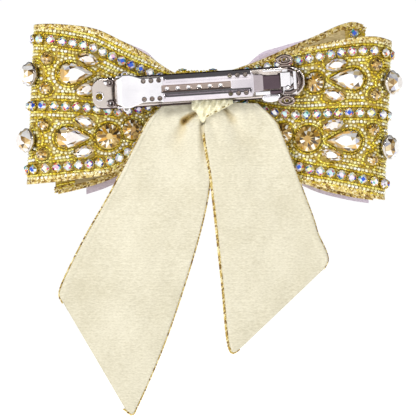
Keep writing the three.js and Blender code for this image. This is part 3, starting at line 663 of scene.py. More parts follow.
class Beadwork:
    """Places seed beads on a panel so that none lies on another or on a stone."""

    def __init__(self, panel, half, from_along, to_along):
        self.panel, self.half = panel, half
        self.from_along, self.to_along = from_along, to_along
        self.cells = {}
        self.taken = []
        self.frames = {"gold": [], "clear": []}

    def keep_clear(self, along, z, radius):
        self.taken.append((along, z, radius))

    def keep_stone_clear(self, stone):
        """Circles along a stone that together cover its outline. Its +x points to the knot."""
        circles = {"round": [(0, 0.98)],
                   "end": [(0, 0.62)],
                   "pear": [(-0.25, 0.92), (0.2, 0.7), (0.55, 0.4), (0.85, 0.2)],
                   "marquise": [(-0.6, 0.55), (0, 0.95), (0.6, 0.55)]}[stone.cut.shape]
        side = self.panel.sign * self.panel.facing
        for share, size in circles:
            x = share * stone.cut.length / 2
            along = stone.along - x * math.cos(stone.turn)
            z = stone.z + x * math.sin(stone.turn) * side
            self.keep_clear(along, z, size * stone.cut.width / 2 + 0.25)

    def is_free(self, along, z, spacing):
        for a, b, radius in self.taken:
            if (along - a) ** 2 + (z - b) ** 2 < radius * radius:
                return False
        cell = (int(along // 2), int(z // 2))
        for i in (-1, 0, 1):
            for j in (-1, 0, 1):
                for a, b in self.cells.get((cell[0] + i, cell[1] + j), ()):
                    if (a - along) ** 2 + (b - z) ** 2 < spacing * spacing:
                        return False
        return True

    def add(self, kind, along, z, heading, spacing=1.0):
        if not self.from_along < along < self.to_along or not self.is_free(along, z, spacing):
            return
        x = self.panel.plan(along)[0]
        if not self.panel.bottom_at(x) + 0.9 < z < self.panel.top_at(x) - 0.9:
            return
        self.cells.setdefault((int(along // 2), int(z // 2)), []).append((along, z))
        wobble = chance.uniform(-0.07, 0.07)
        lift = self.half + 0.15 + chance.uniform(-0.08, 0.1)
        self.frames[kind].append(self.panel.basis(along, z + wobble, heading, lift))

    def row(self, kind, across, offset):
        """A row beside a chain row or an edge, a fixed distance from it."""
        along = self.from_along + chance.uniform(0, 1)
        while along < self.to_along:
            z = self.panel.height(along, across) + offset
            slope = (self.panel.height(along + 1, across) - self.panel.height(along - 1, across)) / 2
            self.add(kind, along, z, (1.0, slope))
            along += BEAD_PITCH[kind] / math.hypot(1, slope)

    def fill(self):
        """Gold beads wherever one still fits."""
        for along in np.arange(self.from_along, self.to_along, 0.5):
            bottoms = [self.panel.height(along + shift, 0) for shift in (-1, 0, 1)]
            tops = [self.panel.height(along + shift, 1) for shift in (-1, 0, 1)]
            for share in np.arange(0.02, 0.99, 0.012):
                before, z, after = (low + (high - low) * share for low, high in zip(bottoms, tops))
                self.add("gold", along, z, (1.0, (after - before) / 2 + chance.uniform(-0.3, 0.3)), 0.96)

    def ring(self, kind, stone, margin):
        """Beads round a stone."""
        samples = 160
        cut = stone.cut
        outline = np.array([girdle_point(cut.shape, 2 * math.pi * k / samples, cut.length, cut.width)
                            for k in range(samples)])
        ahead = np.roll(outline, -1, axis=0) - np.roll(outline, 1, axis=0)
        normals = np.column_stack([ahead[:, 1], -ahead[:, 0]])
        normals /= np.maximum(np.linalg.norm(normals, axis=1, keepdims=True), 1e-6)
        outline = outline + normals * margin
        side = self.panel.sign * self.panel.facing
        c, s = math.cos(stone.turn), math.sin(stone.turn)
        walked, previous = BEAD_PITCH[kind], outline[0]
        for point, direction in zip(outline, ahead):
            walked += np.linalg.norm(point - previous)
            previous = point
            if walked >= BEAD_PITCH[kind]:
                walked = 0.0
                u, v = point[0] * c - point[1] * s, point[0] * s + point[1] * c
                du, dv = direction[0] * c - direction[1] * s, direction[0] * s + direction[1] * c
                self.add(kind, stone.along - u, stone.z + v * side, (-du, dv * side), 0.95)

    def build(self, name):
        for kind, tints in (("gold", GOLD_TINTS), ("clear", CLEAR_TINTS)):
            stamp(f"{name}_{kind}_beads", BEADS[kind], self.frames[kind], tints, f"{kind}_seed_bead")


CHATON = Cut("round", 3.7, 3.7, 2.1, 4, FOUR_CLAWS)
CHATON_CLEARANCE = 1.95            # no bead's middle comes nearer to a chaton's


def chain_stops(panel, across, from_along, to_along):
    """Evenly spaced stone centres along a chain row, with the row's heading at each."""
    stops = []
    along = from_along
    while along < to_along:
        z = panel.height(along, across)
        slope = (panel.height(along + 1, across) - panel.height(along - 1, across)) / 2
        stops.append((along, z, (1.0, slope)))
        along += CHAIN_PITCH / math.hypot(1, slope)
    return stops


def chaton_cup():
    """The round cup of one chaton, its four claws and the link to the next cup."""
    cup = turned([(0.0, 1.75), (0.9, 1.95), (0.9, 1.72), (0.3, 1.5)], 12, axis=2)
    claw = turned([(-0.4, 0.2), (0.1, 0.3), (0.42, 0.14)], 6)
    out, up = 1.66, 1.2
    claws = [moved(claw, (out * math.cos(angle), out * math.sin(angle), up), turn=angle + math.pi)
             for angle in CHATON.claws]
    link = moved(turned([(-1.0, 0.3), (1.0, 0.3)], 6), (CHAIN_PITCH / 2, 0, 0.35))
    return joined(cup, *claws, link)


def chaton_chain(name, panel, stops, lift, replace=None):
    """A cup chain: small aurora stones in gold cups, joined by links."""
    frames = [panel.basis(along, z, heading, lift) for along, z, heading in stops]
    # the chatons' facet tints hold painted glints and dark reflections
    stones = stamp(f"{name}_stones", cut_stone(CHATON), frames, AURORA_AND_GLINT_TINTS, "aurora_crystal", AURORA_AND_GLINT_TABLES)
    stamp(f"{name}_cups", chaton_cup(), frames, CUP_TINTS, "gold_cup")
    if replace:
        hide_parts(replace)


def fill_with_beads(name, panel, half, from_along, to_along, rows, stones):
    """Bead rings round the stones, then rows beside the chains and edges until the panel is full."""
    work = Beadwork(panel, half, from_along, to_along)
    for stone in stones:
        work.keep_stone_clear(stone)
    for across in rows:
        for along, z, _ in chain_stops(panel, across, from_along, to_along):
            work.keep_clear(along, z, CHATON_CLEARANCE)
    for stone in stones:
        work.ring("gold", stone, 0.75)
        if stone.cut.width > TWO_RING_WIDTH and stone.cut.shape != "end":
            work.ring("clear", stone, 1.85)
    for step in range(ROWS_BESIDE_CHAIN):
        kind = "gold" if step % 2 == 0 else "clear"
        for across in rows:
            for side in (1, -1):
                work.row(kind, across, side * (FIRST_ROW + step * ROW_PITCH))
    work.fill()
    work.build(name)


# ---------------------------------------------------------------- braid

BRAID_TINTS = ([srgb(232, 212, 140)] * 3 + [srgb(206, 182, 104)] * 2 + [srgb(252, 242, 202)] * 3
               + [srgb(140, 108, 50)] * 2 + [srgb(182, 150, 78)])
BRAID_STEP = 0.62


def braid_along(name, places, strands=4, spread=0.5, slant=0.6):
    """A woven gold edging along a run of (origin, axes): strands of grains that lean to and fro."""
    frames = []
    for origin, axes in places:
        for strand in range(strands):
            lean = slant if strand % 2 else -slant
            turn = np.array(Matrix.Rotation(lean, 3, "Z"))
            across = (strand - (strands - 1) / 2) * spread
            shift = axes @ np.array([0.3 * (strand % 2), across, chance.uniform(-0.08, 0.08)])
            frames.append((origin + shift, axes @ turn))
    stamp(name, GRAIN, frames, BRAID_TINTS, "gold_braid")


def places_on(line, out, step=BRAID_STEP):
    """Evenly spaced (origin, axes) along a line of points, with the given direction outward."""
    line = np.asarray(line, float)
    lengths = np.concatenate([[0], np.cumsum(np.linalg.norm(np.diff(line, axis=0), axis=1))])
    places = []
    for walked in np.arange(0, lengths[-1] - 0.3, step):
        here, ahead = (np.array([np.interp(distance, lengths, line[:, k]) for k in range(3)])
                       for distance in (walked, walked + 0.3))
        forward = (ahead - here) / np.linalg.norm(ahead - here)
        side = np.cross(out, forward)
        side /= np.linalg.norm(side)
        places.append((here, np.column_stack([forward, side, np.cross(forward, side)])))
    return places


def edge_run(panel, across, offset, from_along, to_along, lift):
    """Places along a panel's edge."""
    places = []
    along = from_along
    while along < to_along:
        z = panel.height(along, across) + offset
        slope = panel.height(along + 0.5, across) - panel.height(along - 0.5, across)
        places.append(panel.basis(along, z, (1.0, slope), lift))
        along += BRAID_STEP / math.hypot(1, slope)
    return places


# ---------------------------------------------------------------- cloth panels

def sheet_of(rows, columns, pair_at):
    """A closed thin sheet over a grid; pair_at(i, j) gives the worn point and the inner point of a place."""
    pairs = [pair_at(i, j) for i in range(rows + 1) for j in range(columns + 1)]
    points = [near for near, _ in pairs] + [far for _, far in pairs]
    width, size = columns + 1, len(pairs)
    faces = []
    for i in range(rows):
        for j in range(columns):
            a = i * width + j
            faces.append([a, a + 1, a + width + 1, a + width])
            faces.append([size + a, size + a + width, size + a + width + 1, size + a + 1])
    for i in range(rows):
        a, b = i * width, i * width + columns
        faces.append([a, a + width, size + a + width, size + a])
        faces.append([b + width, b, size + b, size + b + width])
    for j in range(columns):
        a, b = j, rows * width + j
        faces.append([a + 1, a, size + a, size + a + 1])
        faces.append([b, b + 1, size + b + 1, size + b])
    return points, faces


def tidy_normals(piece):
    work = bmesh.new()
    work.from_mesh(piece.data)
    bmesh.ops.recalc_face_normals(work, faces=work.faces)
    work.to_mesh(piece.data)
    work.free()


def cloth_piece(name, sheet, slot_name, tints=None):
    piece = new_piece(name, *sheet, slot_name, tints=tints)
    tidy_normals(piece)
    return piece


def panel_cloth(name, panel, from_along, to_along, lifts, slot_name, margins=(0.0, 0.0), ripple=0.0,
                steps=90, columns=28, tapers=(1.0, 1.0)):
    """A piece of cloth that follows a panel between two lifts off its middle surface.

    It stands out by margins below and above. Tapers are what is left of them at the knot and, above, at the
    outer end."""
    def pair_at(i, j):
        share = i / steps
        along = from_along + (to_along - from_along) * share
        x = panel.plan(along)[0]
        from_knot = 1 - (1 - tapers[0]) * (1 - smooth_step(share / 0.3))
        to_end = 1 - (1 - tapers[1]) * smooth_step(share)
        bottom = panel.bottom_at(x) - margins[0] * from_knot
        top = panel.top_at(x) + margins[1] * from_knot * to_end
        z = bottom + (top - bottom) * j / columns
        wave = ripple * math.sin(along * 0.45 + z * 0.12) * math.sin(z * 0.21 + 1.0)
        return [panel.place(along, z, lift + wave)[0] for lift in lifts]

    return cloth_piece(name, sheet_of(steps, columns, pair_at), slot_name)


def mean_height_of(panel, from_along, to_along, margin=0.0):
    """The mean height in metres of a piece of cloth that stands out by a margin below and above."""
    heights = [panel.height(along, 1) - panel.height(along, 0) + 2 * margin
               for along in np.linspace(from_along, to_along, 60)]
    return float(np.mean(heights)) * MM


def rows_of(side):
    """The shares of a panel's height at which its chains run."""
    return [shares[side] for shares in CHAIN_ROWS.values()]


def lay_chains(prefix, side, panel, from_along, to_along, lift, replace=False):
    for row_name, shares in CHAIN_ROWS.items():
        name = f"{prefix}_{row_name}_chain"
        stops = chain_stops(panel, shares[side], from_along, to_along)
        chaton_chain(name, panel, stops, lift, name if replace else None)


EDGES = [("top", 1, -1), ("bottom", 0, 1)]      # an edge's name, its share of the height, which way is inward
LOOP_STARTS = dict(chain=10.0, beads=8.0, braid=7.0)      # how far from the knot's middle each begins
WING_STARTS = dict(chain=11.0, beads=9.0, braid=9.0)
BEADS_PAST_FOLD = 16


def build_loop(side):
    """One loop: its cloth, three cup chains, two lanes of stones, beads and edge braid."""
    panel = PANELS[side]
    beads_end = panel.fold + BEADS_PAST_FOLD
    cloth = panel_cloth(f"{side}_loop_cloth", panel, 0.0, panel.length, (BAND_HALF - 0.5, -0.2),
                        "beaded_cloth")
    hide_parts(f"{side}_back_band", f"{side}_return_band")
    area = mean_height_of(panel, 0, panel.length) * panel.length * MM
    lay_chains(side, side, panel, LOOP_STARTS["chain"], beads_end, BAND_HALF - 0.3, replace=True)
    stones = crystals_of(side, panel, LOOPS[side]["reach"])
    set_stones(panel, stones, BAND_HALF)
    fill_with_beads(f"{side}_loop", panel, BAND_HALF - 0.5, LOOP_STARTS["beads"], beads_end, rows_of(side),
                    stones)
    braid_end = panel.length - 10
    for edge, across, inward in EDGES:
        places = edge_run(panel, across, 0.8 * inward, LOOP_STARTS["braid"], braid_end, BAND_HALF - 0.2)
        braid_along(f"{side}_loop_{edge}_braid", places)


STIFFENER_HALF = 0.25
LINING_HALF = 0.3
STIFFENER_LIFT = -(WING_HALF + GAP + STIFFENER_HALF)
LINING_LIFT = STIFFENER_LIFT - STIFFENER_HALF - GAP - LINING_HALF
LINING_INSET = 0.6                 # from the knot's middle and from the wing's edges to the lining's
LINING_SHARE = 0.9                 # the lining ends at this share of the wing's length
STIFFENER_START = 0.18             # and the stiffener starts at this one
STIFFENER_MARGIN = 2.2             # how far the stiffener stands out of the wing, on average
END_STRIP = 7.5                    # the wing's beaded end that is turned back over the lining


def build_wing(side):
    """One display wing: beaded face, stiffener, lining, and its beaded end turned back over the lining."""
    panel = WING_PANELS[side]
    cloth = panel_cloth(f"{side}_wing_cloth", panel, 0.0, panel.length, (WING_HALF - 0.4, -0.5),
                        "beaded_cloth")
    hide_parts(f"{side}_front_wing")
    mean_height = mean_height_of(panel, 0, panel.length)
    turned_back(side, panel)
    stiff = WINGS[side]["stiffener"]
    stiff_from, stiff_to = STIFFENER_START * panel.length, stiff["to"] * panel.length
    stiffener = panel_cloth(f"{side}_wing_stiffener", panel, stiff_from, stiff_to,
                            (STIFFENER_LIFT + 0.2, STIFFENER_LIFT - 0.2), "stiffener",
                            margins=(stiff["below"], stiff["above"]), tapers=(-0.4, -0.2))
    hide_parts(f"{side}_stiffener")
    mean_height = mean_height_of(panel, stiff_from, stiff_to, STIFFENER_MARGIN)
    lining_from, lining_to = LINING_INSET, LINING_SHARE * panel.length
    lining = panel_cloth(f"{side}_wing_lining", panel, lining_from, lining_to,
                         (LINING_LIFT + 0.15, LINING_LIFT - 0.15), "lining_satin",
                         margins=(-LINING_INSET, -LINING_INSET), ripple=0.12)
    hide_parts(f"{side}_lining")
    mean_height = mean_height_of(panel, lining_from, lining_to, -LINING_INSET)
    for edge, across, inward in EDGES:
        for face, offset, lift in (("", 0.35, LINING_LIFT), ("face_", 1.0, WING_HALF - 0.2)):
            places = edge_run(panel, across, offset * inward, WING_STARTS["braid"], panel.length - 1, lift)
            braid_along(f"{side}_wing_{edge}_{face}braid", places)
    lay_chains(f"{side}_wing", side, panel, WING_STARTS["chain"], panel.length - 2, WING_HALF - 0.2)
    stones = [stone._replace(name=f"wing_{stone.name}")
              for stone in crystals_of(side, panel, WINGS[side]["reach"] - 2) if stone.cut.shape != "end"]
    set_stones(panel, stones, WING_HALF - 0.1, replace=False)
    fill_with_beads(f"{side}_wing", panel, WING_HALF - 0.3, WING_STARTS["beads"], panel.length, rows_of(side),
                    stones)


def turned_back(side, panel):
    """The strip of beads that the wing's outer end turns back over its lining, with one stone at its top."""
    hair_side = wing_panel(side, facing=1)
    start = panel.length - END_STRIP
    half = -LINING_LIFT + 0.2
    strip = panel_cloth(f"{side}_wing_end", hair_side, start, panel.length, (half + 0.35, half - 0.1),
                        "beaded_cloth", steps=12)
    stone_along, stone_row = start + 3.4, 0.945
    stop = (stone_along, panel.height(stone_along, stone_row), (1.0, 0.0))
    chaton_chain(f"{side}_wing_end_chain", hair_side, [stop], half + 0.3)
    fill_with_beads(f"{side}_wing_end", hair_side, half, start, panel.length, [stone_row], [])
    for edge, across, inward in EDGES:
        places = edge_run(hair_side, across, inward, start, panel.length, half + 0.3)
        braid_along(f"{side}_wing_end_{edge}_braid", places)
    return strip


# ---------------------------------------------------------------- knot

KNOT_HALF_WIDTH = 8.5
KNOT_PATH = [(11, 5.9), (17, 6.1), (20.4, 5.2), (21.5, 2), (21.7, -2), (21.5, -7.4), (20.4, -11.8),
             (17, -13.4), (11, -13.2)]
KNOT_ROWS = [0.16, 0.84]
KNOT_CENTRE = round_cut(4.5, 3.4, 14)
KNOT_MARQUISE = Cut("marquise", 7.6, 3.8, 2.2, 8, TIP_CLAWS)


class KnotBand(Panel):
    """The band round the knot's display side: along runs over it from top to bottom, height is along X."""

    def __init__(self):
        self.sign, self.facing = 1, 1
        self.follow(KNOT_PATH)

    def bottom_at(self, _):
        return -KNOT_HALF_WIDTH

    def top_at(self, _):
        return KNOT_HALF_WIDTH

    def height(self, along, across):
        return KNOT_HALF_WIDTH * (2 * across - 1)

    def place(self, along, z, lift=0.0):
        y, height = self.plan(along)
        ahead = self.direction(along)
        out = np.array([0.0, -ahead[1], ahead[0]])
        return np.array([z, y, height]) + out * lift, out


def build_knot_band():
    """The beaded band over the middle of the bow: two cup chains and three stones on its display side."""
    band = KnotBand()
    cloth = panel_cloth("knot_band_cloth", band, 0.0, band.length, (0.2, -0.5), "beaded_cloth", steps=50,
                        columns=10)
    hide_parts("knot_band")
    for count, across in enumerate(KNOT_ROWS):
        stops = chain_stops(band, across, 9.0, band.length - 8)
        chaton_chain(f"knot_chain_{count}", band, stops, 0.2)
    middle = band.length / 2
    stones = [Stone("knot_centre", KNOT_CENTRE, middle, 0.0, 0.0)]
    for count, away in enumerate((-7, 7)):
        stones.append(Stone(f"knot_marquise_{count}", KNOT_MARQUISE, middle + away, 0.0, math.pi / 2))
    set_stones(band, stones, 0.25, replace=False)
    fill_with_beads("knot_band", band, 0.1, 0.0, band.length, KNOT_ROWS, stones)


WRAP_LEFT, WRAP_RIGHT = -2.2, 13.2
WRAP_FOOT = [(-2.2, -8.4), (-0.4, -9.6), (1.8, -13.4), (3.6, -11.6), (8, -9.2), (13.2, -6.2)]
WRAP_TOP = 4.4
WRAP_INNER_Y, WRAP_PUFF_Y = 5.9, 0.9
PUFF_TOP = -3.4                    # where the cloth leaves the arm and begins to stand out
THREAD_TINTS = [srgb(176, 154, 84), srgb(150, 128, 66)]


def wrap_depth(x, z, foot):
    """How deep the wrap's face lies: flat above, puffed out below with gathers, and tucked in at its foot."""
    puff = min(max((PUFF_TOP - z) / 1.4, 0), 1)
    tuck = min(max((z - foot) / 1.1, 0), 1)
    gather = 0.45 * math.sin(1.9 * x + 0.5 * z) + 0.35 * math.sin(3.1 * x - 1.1 * z + 1)
    y = WRAP_INNER_Y + (WRAP_PUFF_Y - WRAP_INNER_Y) * smooth_step(puff)
    return y + 1.3 * (1 - math.sqrt(1 - (1 - tuck) ** 2)) * puff + gather * puff


def build_wrap():
    """The cloth stitched round the base plate: flat under the arm, then puffed out and gathered below it."""
    foot_at = smooth_through(WRAP_FOOT)
    rows = columns = 60

    def pair_at(i, j):
        x = WRAP_LEFT + (WRAP_RIGHT - WRAP_LEFT) * j / columns
        foot = float(foot_at(x))
        z = WRAP_TOP + (foot - WRAP_TOP) * i / rows
        y = wrap_depth(x, z, foot)
        return (x, y, z), (x, y + 0.5, z)

    wrap = cloth_piece("knot_wrap_cloth", sheet_of(rows, columns, pair_at), "knot_satin")
    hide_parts("knot_wrap")
    thread = turned(barrel(half=0.55, bevel=0.15, radius=0.22, tip=0.1), 6)
    line = [(x, WRAP_PUFF_Y - 0.1, float(foot_at(x)) + 0.7) for x in np.linspace(3.8, 12.6, 30)]
    stitches = places_on(line, (0, -1, 0), 1.7)
    stamp("knot_wrap_stitches", thread, stitches, THREAD_TINTS, "gold_braid")


# ---------------------------------------------------------------- tails

TAIL_DEPTH = [(-124, 5), (-60, 4), (-36, 1.8), (-16, 1.6), (-6, 4)]      # the hang: z and how deep it lies
Crease = namedtuple("Crease", "start end width depth")      # a negative depth stands out
TAILS = {
    "tail_left": dict(
        left=[(-13.5, -7), (-17.6, -11.5), (-20.5, -16.5), (-32.8, -40.2), (-42, -56.2), (-51.3, -75.4),
              (-51.7, -78.2), (-50.3, -81)],
        right=[(1, -6), (1.8, -9.5), (2.9, -14), (4.4, -36), (-10, -88.9), (-22.8, -119.6), (-24.5, -122.5),
               (-27.2, -120.6)],
        shift=0.5, hem="left", braid_peek=dict(left=0.45, right=0.35), flat_length=122.0,
        creases=[Crease((-5.2, -12.6), (-0.6, -9.6), 0.8, 2.7),
                 Crease((-0.8, -9.8), (-4.6, -12.2), 0.6, 2.2),
                 Crease((-3.4, -14), (-0.6, -12.8), 0.8, -1.2),
                 Crease((-4.8, -13), (-8.5, -21), 1.3, 2),
                 Crease((1.6, -14.5), (3.4, -34), 0.9, 1.6),
                 Crease((-10, -8), (-15, -17), 1.8, 0.8),
                 Crease((-6, -24), (-22, -62), 7, 0.9),
                 Crease((-16, -50), (-30, -100), 8, -0.8)],
        pit=dict(x=2.0, z=-13.2, radius=0.8, depth=2.4)),
    "tail_right": dict(
        left=[(6, -5.6), (4, -9.5), (2.6, -14), (5.6, -36), (9.6, -72.8), (12.3, -97.6), (13.4, -99.4),
              (16.2, -97.8)],
        right=[(22.6, -6), (28.9, -12.4), (31, -16.5), (38.4, -36), (43.7, -50.2), (45, -54.6), (48.9, -64.4),
               (47.4, -68)],
        shift=0.0, hem="right", braid_peek=dict(left=0.8, right=0.2), flat_length=99.0,
        creases=[Crease((9.8, -7.4), (13.2, -12), 0.6, 2.4),
                 Crease((13, -12), (18, -24), 2.2, 1.1),
                 Crease((5, -13), (9, -24), 1.6, 0.7),
                 Crease((22, -20), (30, -44), 6, 0.8),
                 Crease((14, -40), (26, -80), 7, -0.8)],
        pit=None),
}
# painted shade: the gold that the ribbon's deep folds are tinted
FOLD_SHADOW_GOLD = srgb(226, 202, 138)
TAIL_HALF = 0.28                   # half the ribbon's thickness, as the hem's is
HEM_WIDTH = 1.5
BRAID_TOP = dict(inner=-17, outer=-9)      # where an edge's braid begins below the knot


def near_segment(x, z, start, end):
    """How far a point is from a segment, and how far along the segment its nearest point is."""
    dx, dz = end[0] - start[0], end[1] - start[1]
    share = max(0.0, min(1.0, ((x - start[0]) * dx + (z - start[1]) * dz) / (dx * dx + dz * dz)))
    return math.hypot(x - start[0] - share * dx, z - start[1] - share * dz), share


def crease_depth(tail, x, z, spread=1.0):
    """How far the creases push the ribbon back at a place. A larger spread widens them."""
    y = 0.0
    for start, end, width, depth in tail["creases"]:
        away, share = near_segment(x, z, start, end)
        y += depth * (1 - 0.75 * share) * math.exp(-(away / (spread * width * (1 + share))) ** 2)
    return y


def painted_fold_shadow(tail, x, z):
    """Painted shade: the satin is tinted gold in and around its deepest folds."""
    gold_shadow = smooth_step((crease_depth(tail, x, z, 1.5) - 0.7) / 3.2)
    return tuple(1 + gold_shadow * (channel - 1) for channel in FOLD_SHADOW_GOLD)


def tail_depth(tail, depth_at, x, z):
    """How deep the ribbon lies at a place: its hang, creases and pit, gathers at the knot, soft waves."""
    y = float(depth_at(z)) + tail["shift"] + crease_depth(tail, x, z)
    pit = tail["pit"]
    if pit:
        y += pit["depth"] * math.exp(-((x - pit["x"]) ** 2 + (z - pit["z"]) ** 2) / pit["radius"] ** 2)
    gathered = math.exp(-((z + 8) / 5) ** 2)
    y += 0.16 * gathered * math.sin(1.3 * x + 0.4 * z)
    y += 0.14 * math.sin(0.33 * x + 0.21 * z) + 0.08 * math.sin(0.8 * x - 0.37 * z + 2)
    return y


def build_tail(name):
    """One satin tail: a ribbon with a turned hem on its outer edge and braid showing behind both edges."""
    tail = TAILS[name]
    depth_at = smooth_through(TAIL_DEPTH)
    left, right = curve_through(tail["left"], 28), curve_through(tail["right"], 28)
    columns = 90

    def pair_at(i, j):
        (left_x, left_z), (right_x, right_z) = left[i], right[i]
        share = j / columns
        x, z = left_x + (right_x - left_x) * share, left_z + (right_z - left_z) * share
        y = tail_depth(tail, depth_at, x, z)
        edge_distance = (share if tail["hem"] == "left" else 1 - share) * (right_x - left_x)
        hem = TAIL_HALF * (1 - min(max((edge_distance - HEM_WIDTH) / 0.3, 0), 1))
        from_edge = min(share, 1 - share) * (right_x - left_x)
        half = TAIL_HALF * math.sqrt(min(from_edge / 0.5, 1))
        return (x, y - hem - half, z), (x, y + half, z)

    points, faces = sheet_of(len(left) - 1, columns, pair_at)
    middles = [np.mean([points[i] for i in face], axis=0) for face in faces]
    # painted shade: each face takes gold shade by how deep the folds around it are
    tints = [painted_fold_shadow(tail, x, z) for x, _, z in middles]
    cloth = cloth_piece(f"{name}_cloth", (points, faces), "ribbon_satin", tints)
    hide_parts(name)
    for side, edge, inward in (("left", left, 1), ("right", right, -1)):
        inset = inward * (0.5 - tail["braid_peek"][side])
        top = BRAID_TOP["outer" if side == tail["hem"] else "inner"]
        line = [(x + inset, tail_depth(tail, depth_at, x, z) + 0.75, z) for x, z in edge if z < top]
        braid_along(f"{name}_{side}_braid", places_on(line, (0, -1, 0)), strands=2)


# ---------------------------------------------------------------- barrette (tilted: u along, v across)

BARRETTE_TILT = math.radians(3.8)
BARRETTE_AXES = np.array([[math.cos(BARRETTE_TILT), 0, -math.sin(BARRETTE_TILT)],
                          [0, 1, 0],
                          [math.sin(BARRETTE_TILT), 0, math.cos(BARRETTE_TILT)]])
# Nickel from white to dark: BRIGHT is the metal's own colour, the others are painted shade and painted dark
# reflections.
BRIGHT, LIGHT_SHADE, MID_SHADE = srgb(255, 254, 255), srgb(228, 222, 226), srgb(192, 182, 184)
SHADED, DEEP_SHADE, DARK = srgb(174, 158, 148), srgb(132, 120, 116), srgb(98, 84, 90)
BASE = dict(left=-39.4, right=40, half_width=5.9, thickness=0.8, middle_y=8, end_y=1, half_span=40)
BASE_CORNER = dict(left=3.8, right=5.5)
ARM = dict(left=-30.9, right=21, y=-2.1, thickness=0.5)
TONGUE = dict(left=24.6, right=31, y=-1.3)
ARM_HALF_WIDTHS = [(-30.9, 3.9), (-30.2, 4.8), (-29.2, 5.1), (-27.6, 6.3), (-25.2, 6.3), (-20.6, 4.6),
                   (-14, 4.6), (-13, 5), (20.2, 5), (21, 3.3), (24.2, 3.2), (24.8, 2.65), (31, 2.65)]
PIN = dict(u=-28.5, y=0.6, half=7.0, bevel=0.2, radius=0.8, tip=0.3)
KNUCKLE = dict(half=3.1, bevel=0.1, radius=1.7, tip=1.05)
RIB = dict(left=-12.9, right=20.4, offset=3.25, half_width=1.7, height=1.05)
GROOVE = dict(left=-13.6, right=12.6, half_width=1.35, depth=0.5)
PITS = dict(count=6, left=-11.4, pitch=4.0, radius=0.75, depth=0.55)
HOLE_GROUPS = [-20.1, 12.2]
HOLE = dict(pitch=2.9, v=3.4, radius=0.75)


def base_y(u):
    return BASE["middle_y"] - (BASE["middle_y"] - BASE["end_y"]) * (u / BASE["half_span"]) ** 2


def barrette_piece(name, template, node=None, body="root", tints=None, smooth=True, tint=BRIGHT):
    """A nickel piece given in the barrette's frame."""
    points, faces = template
    tints = tints if tints is not None else [tint] * len(faces)
    piece = new_piece(name, np.asarray(points) @ BARRETTE_AXES.T, faces, "nickel", body, tints, smooth)
    tidy_normals(piece)
    if node:
        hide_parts(node)
    return piece


def pressed_strip(us, half_width_at, depth_at, thickness, columns, edge_roll=0.35):
    """A pressed metal strip with its front face at depth_at(u, v) and its long edges rolled over a little."""
    def pair_at(i, j):
        u = us[i]
        half = half_width_at(u)
        v = -half + 2 * half * j / columns
        inset = min(half - abs(v), edge_roll) / edge_roll
        roll = edge_roll * (1 - math.sqrt(max(0.0, 1 - (1 - inset) ** 2)))
        y = depth_at(u, v)
        return (u, y + min(roll, thickness * 0.45), v), (u, y + thickness, v)

    return sheet_of(len(us) - 1, columns, pair_at)


def about_pin(profile, sides, v=0.0):
    """A round body on the hinge's axis, from a profile of (v, radius)."""
    points, faces = turned(profile, sides)
    return points[:, [1, 2, 0]] + np.array([PIN["u"], PIN["y"], v]), faces


def facing_out(profile, sides):
    """A round body on an axis along Y, from a profile of (y, radius)."""
    points, faces = turned(profile, sides)
    return points[:, [1, 0, 2]], faces


def moved_to(template, offset, scale=(1, 1, 1)):
    points, faces = template
    return points * np.array(scale) + np.array(offset), faces


def bent_wire(radius, thickness, arc=None, squash=1.0, sides=24):
    """A round wire bent in the u-v plane: an arc between two angles with flat ends, or else a whole ring."""
    around = 8
    start, end = arc or (0, 2 * math.pi)
    stations = sides + 1 if arc else sides
    points = []
    for k in range(stations):
        angle = start + (end - start) * k / sides
        for m in range(around):
            turn = 2 * math.pi * m / around
            out = radius + thickness * math.cos(turn)
            points.append((out * math.cos(angle), thickness * math.sin(turn), out * math.sin(angle) * squash))
    faces = tube_faces(stations, around, closed=not arc)
    if arc:
        faces.append(list(range(around)))
        faces.append([sides * around + m for m in range(around)])
    return np.array(points), faces


def block(size, at, radius):
    """A box with rolled edges, centred at a place."""
    half = np.array(size) / 2
    corners = []
    for signs in itertools.product((-1, 1), repeat=3):
        corner = np.array(signs) * (half - radius)
        for axis in ([1, 0, 0], [0, 1, 0], [0, 0, 1], [0.577, 0.577, 0.577], [0.707, 0.707, 0],
                     [0.707, 0, 0.707], [0, 0.707, 0.707]):
            corners.append(tuple(corner + radius * np.array(axis) * np.array(signs)))
    return moved_to(hull_of(corners), at)


def cut_holes(piece, holes, y_from, y_to):
    """Drills round holes (u, v, radius) through a barrette piece."""
    drills = [moved_to(facing_out([(y_from, radius), (y_to, radius)], 20), (u, 0, v))
              for u, v, radius in holes]
    points, faces = joined(*drills)
    mesh = bpy.data.meshes.new("cutter")
    mesh.from_pydata((np.asarray(points) @ BARRETTE_AXES.T * MM).tolist(), [], faces)
    cutter = bpy.data.objects.new("cutter", mesh)
    bpy.context.collection.objects.link(cutter)
    tidy_normals(cutter)
    modifier = piece.modifiers.new("holes", "BOOLEAN")
    modifier.operation, modifier.object, modifier.solver = "DIFFERENCE", cutter, "EXACT"
    bpy.context.view_layer.update()
    evaluated = piece.evaluated_get(bpy.context.evaluated_depsgraph_get())
    drilled = bpy.data.meshes.new_from_object(evaluated)
    piece.modifiers.clear()
    piece.data = drilled
    bpy.data.objects.remove(cutter)
    bpy.data.meshes.remove(mesh)


def arm_half_width(u):
    us, halves = zip(*ARM_HALF_WIDTHS)
    return float(np.interp(u, us, halves))


def pits_away(u, v):
    """How far a place is from the middle of each pit, in pit radii."""
    return [math.hypot(u - PITS["left"] - k * PITS["pitch"], v) / PITS["radius"]
            for k in range(PITS["count"])]


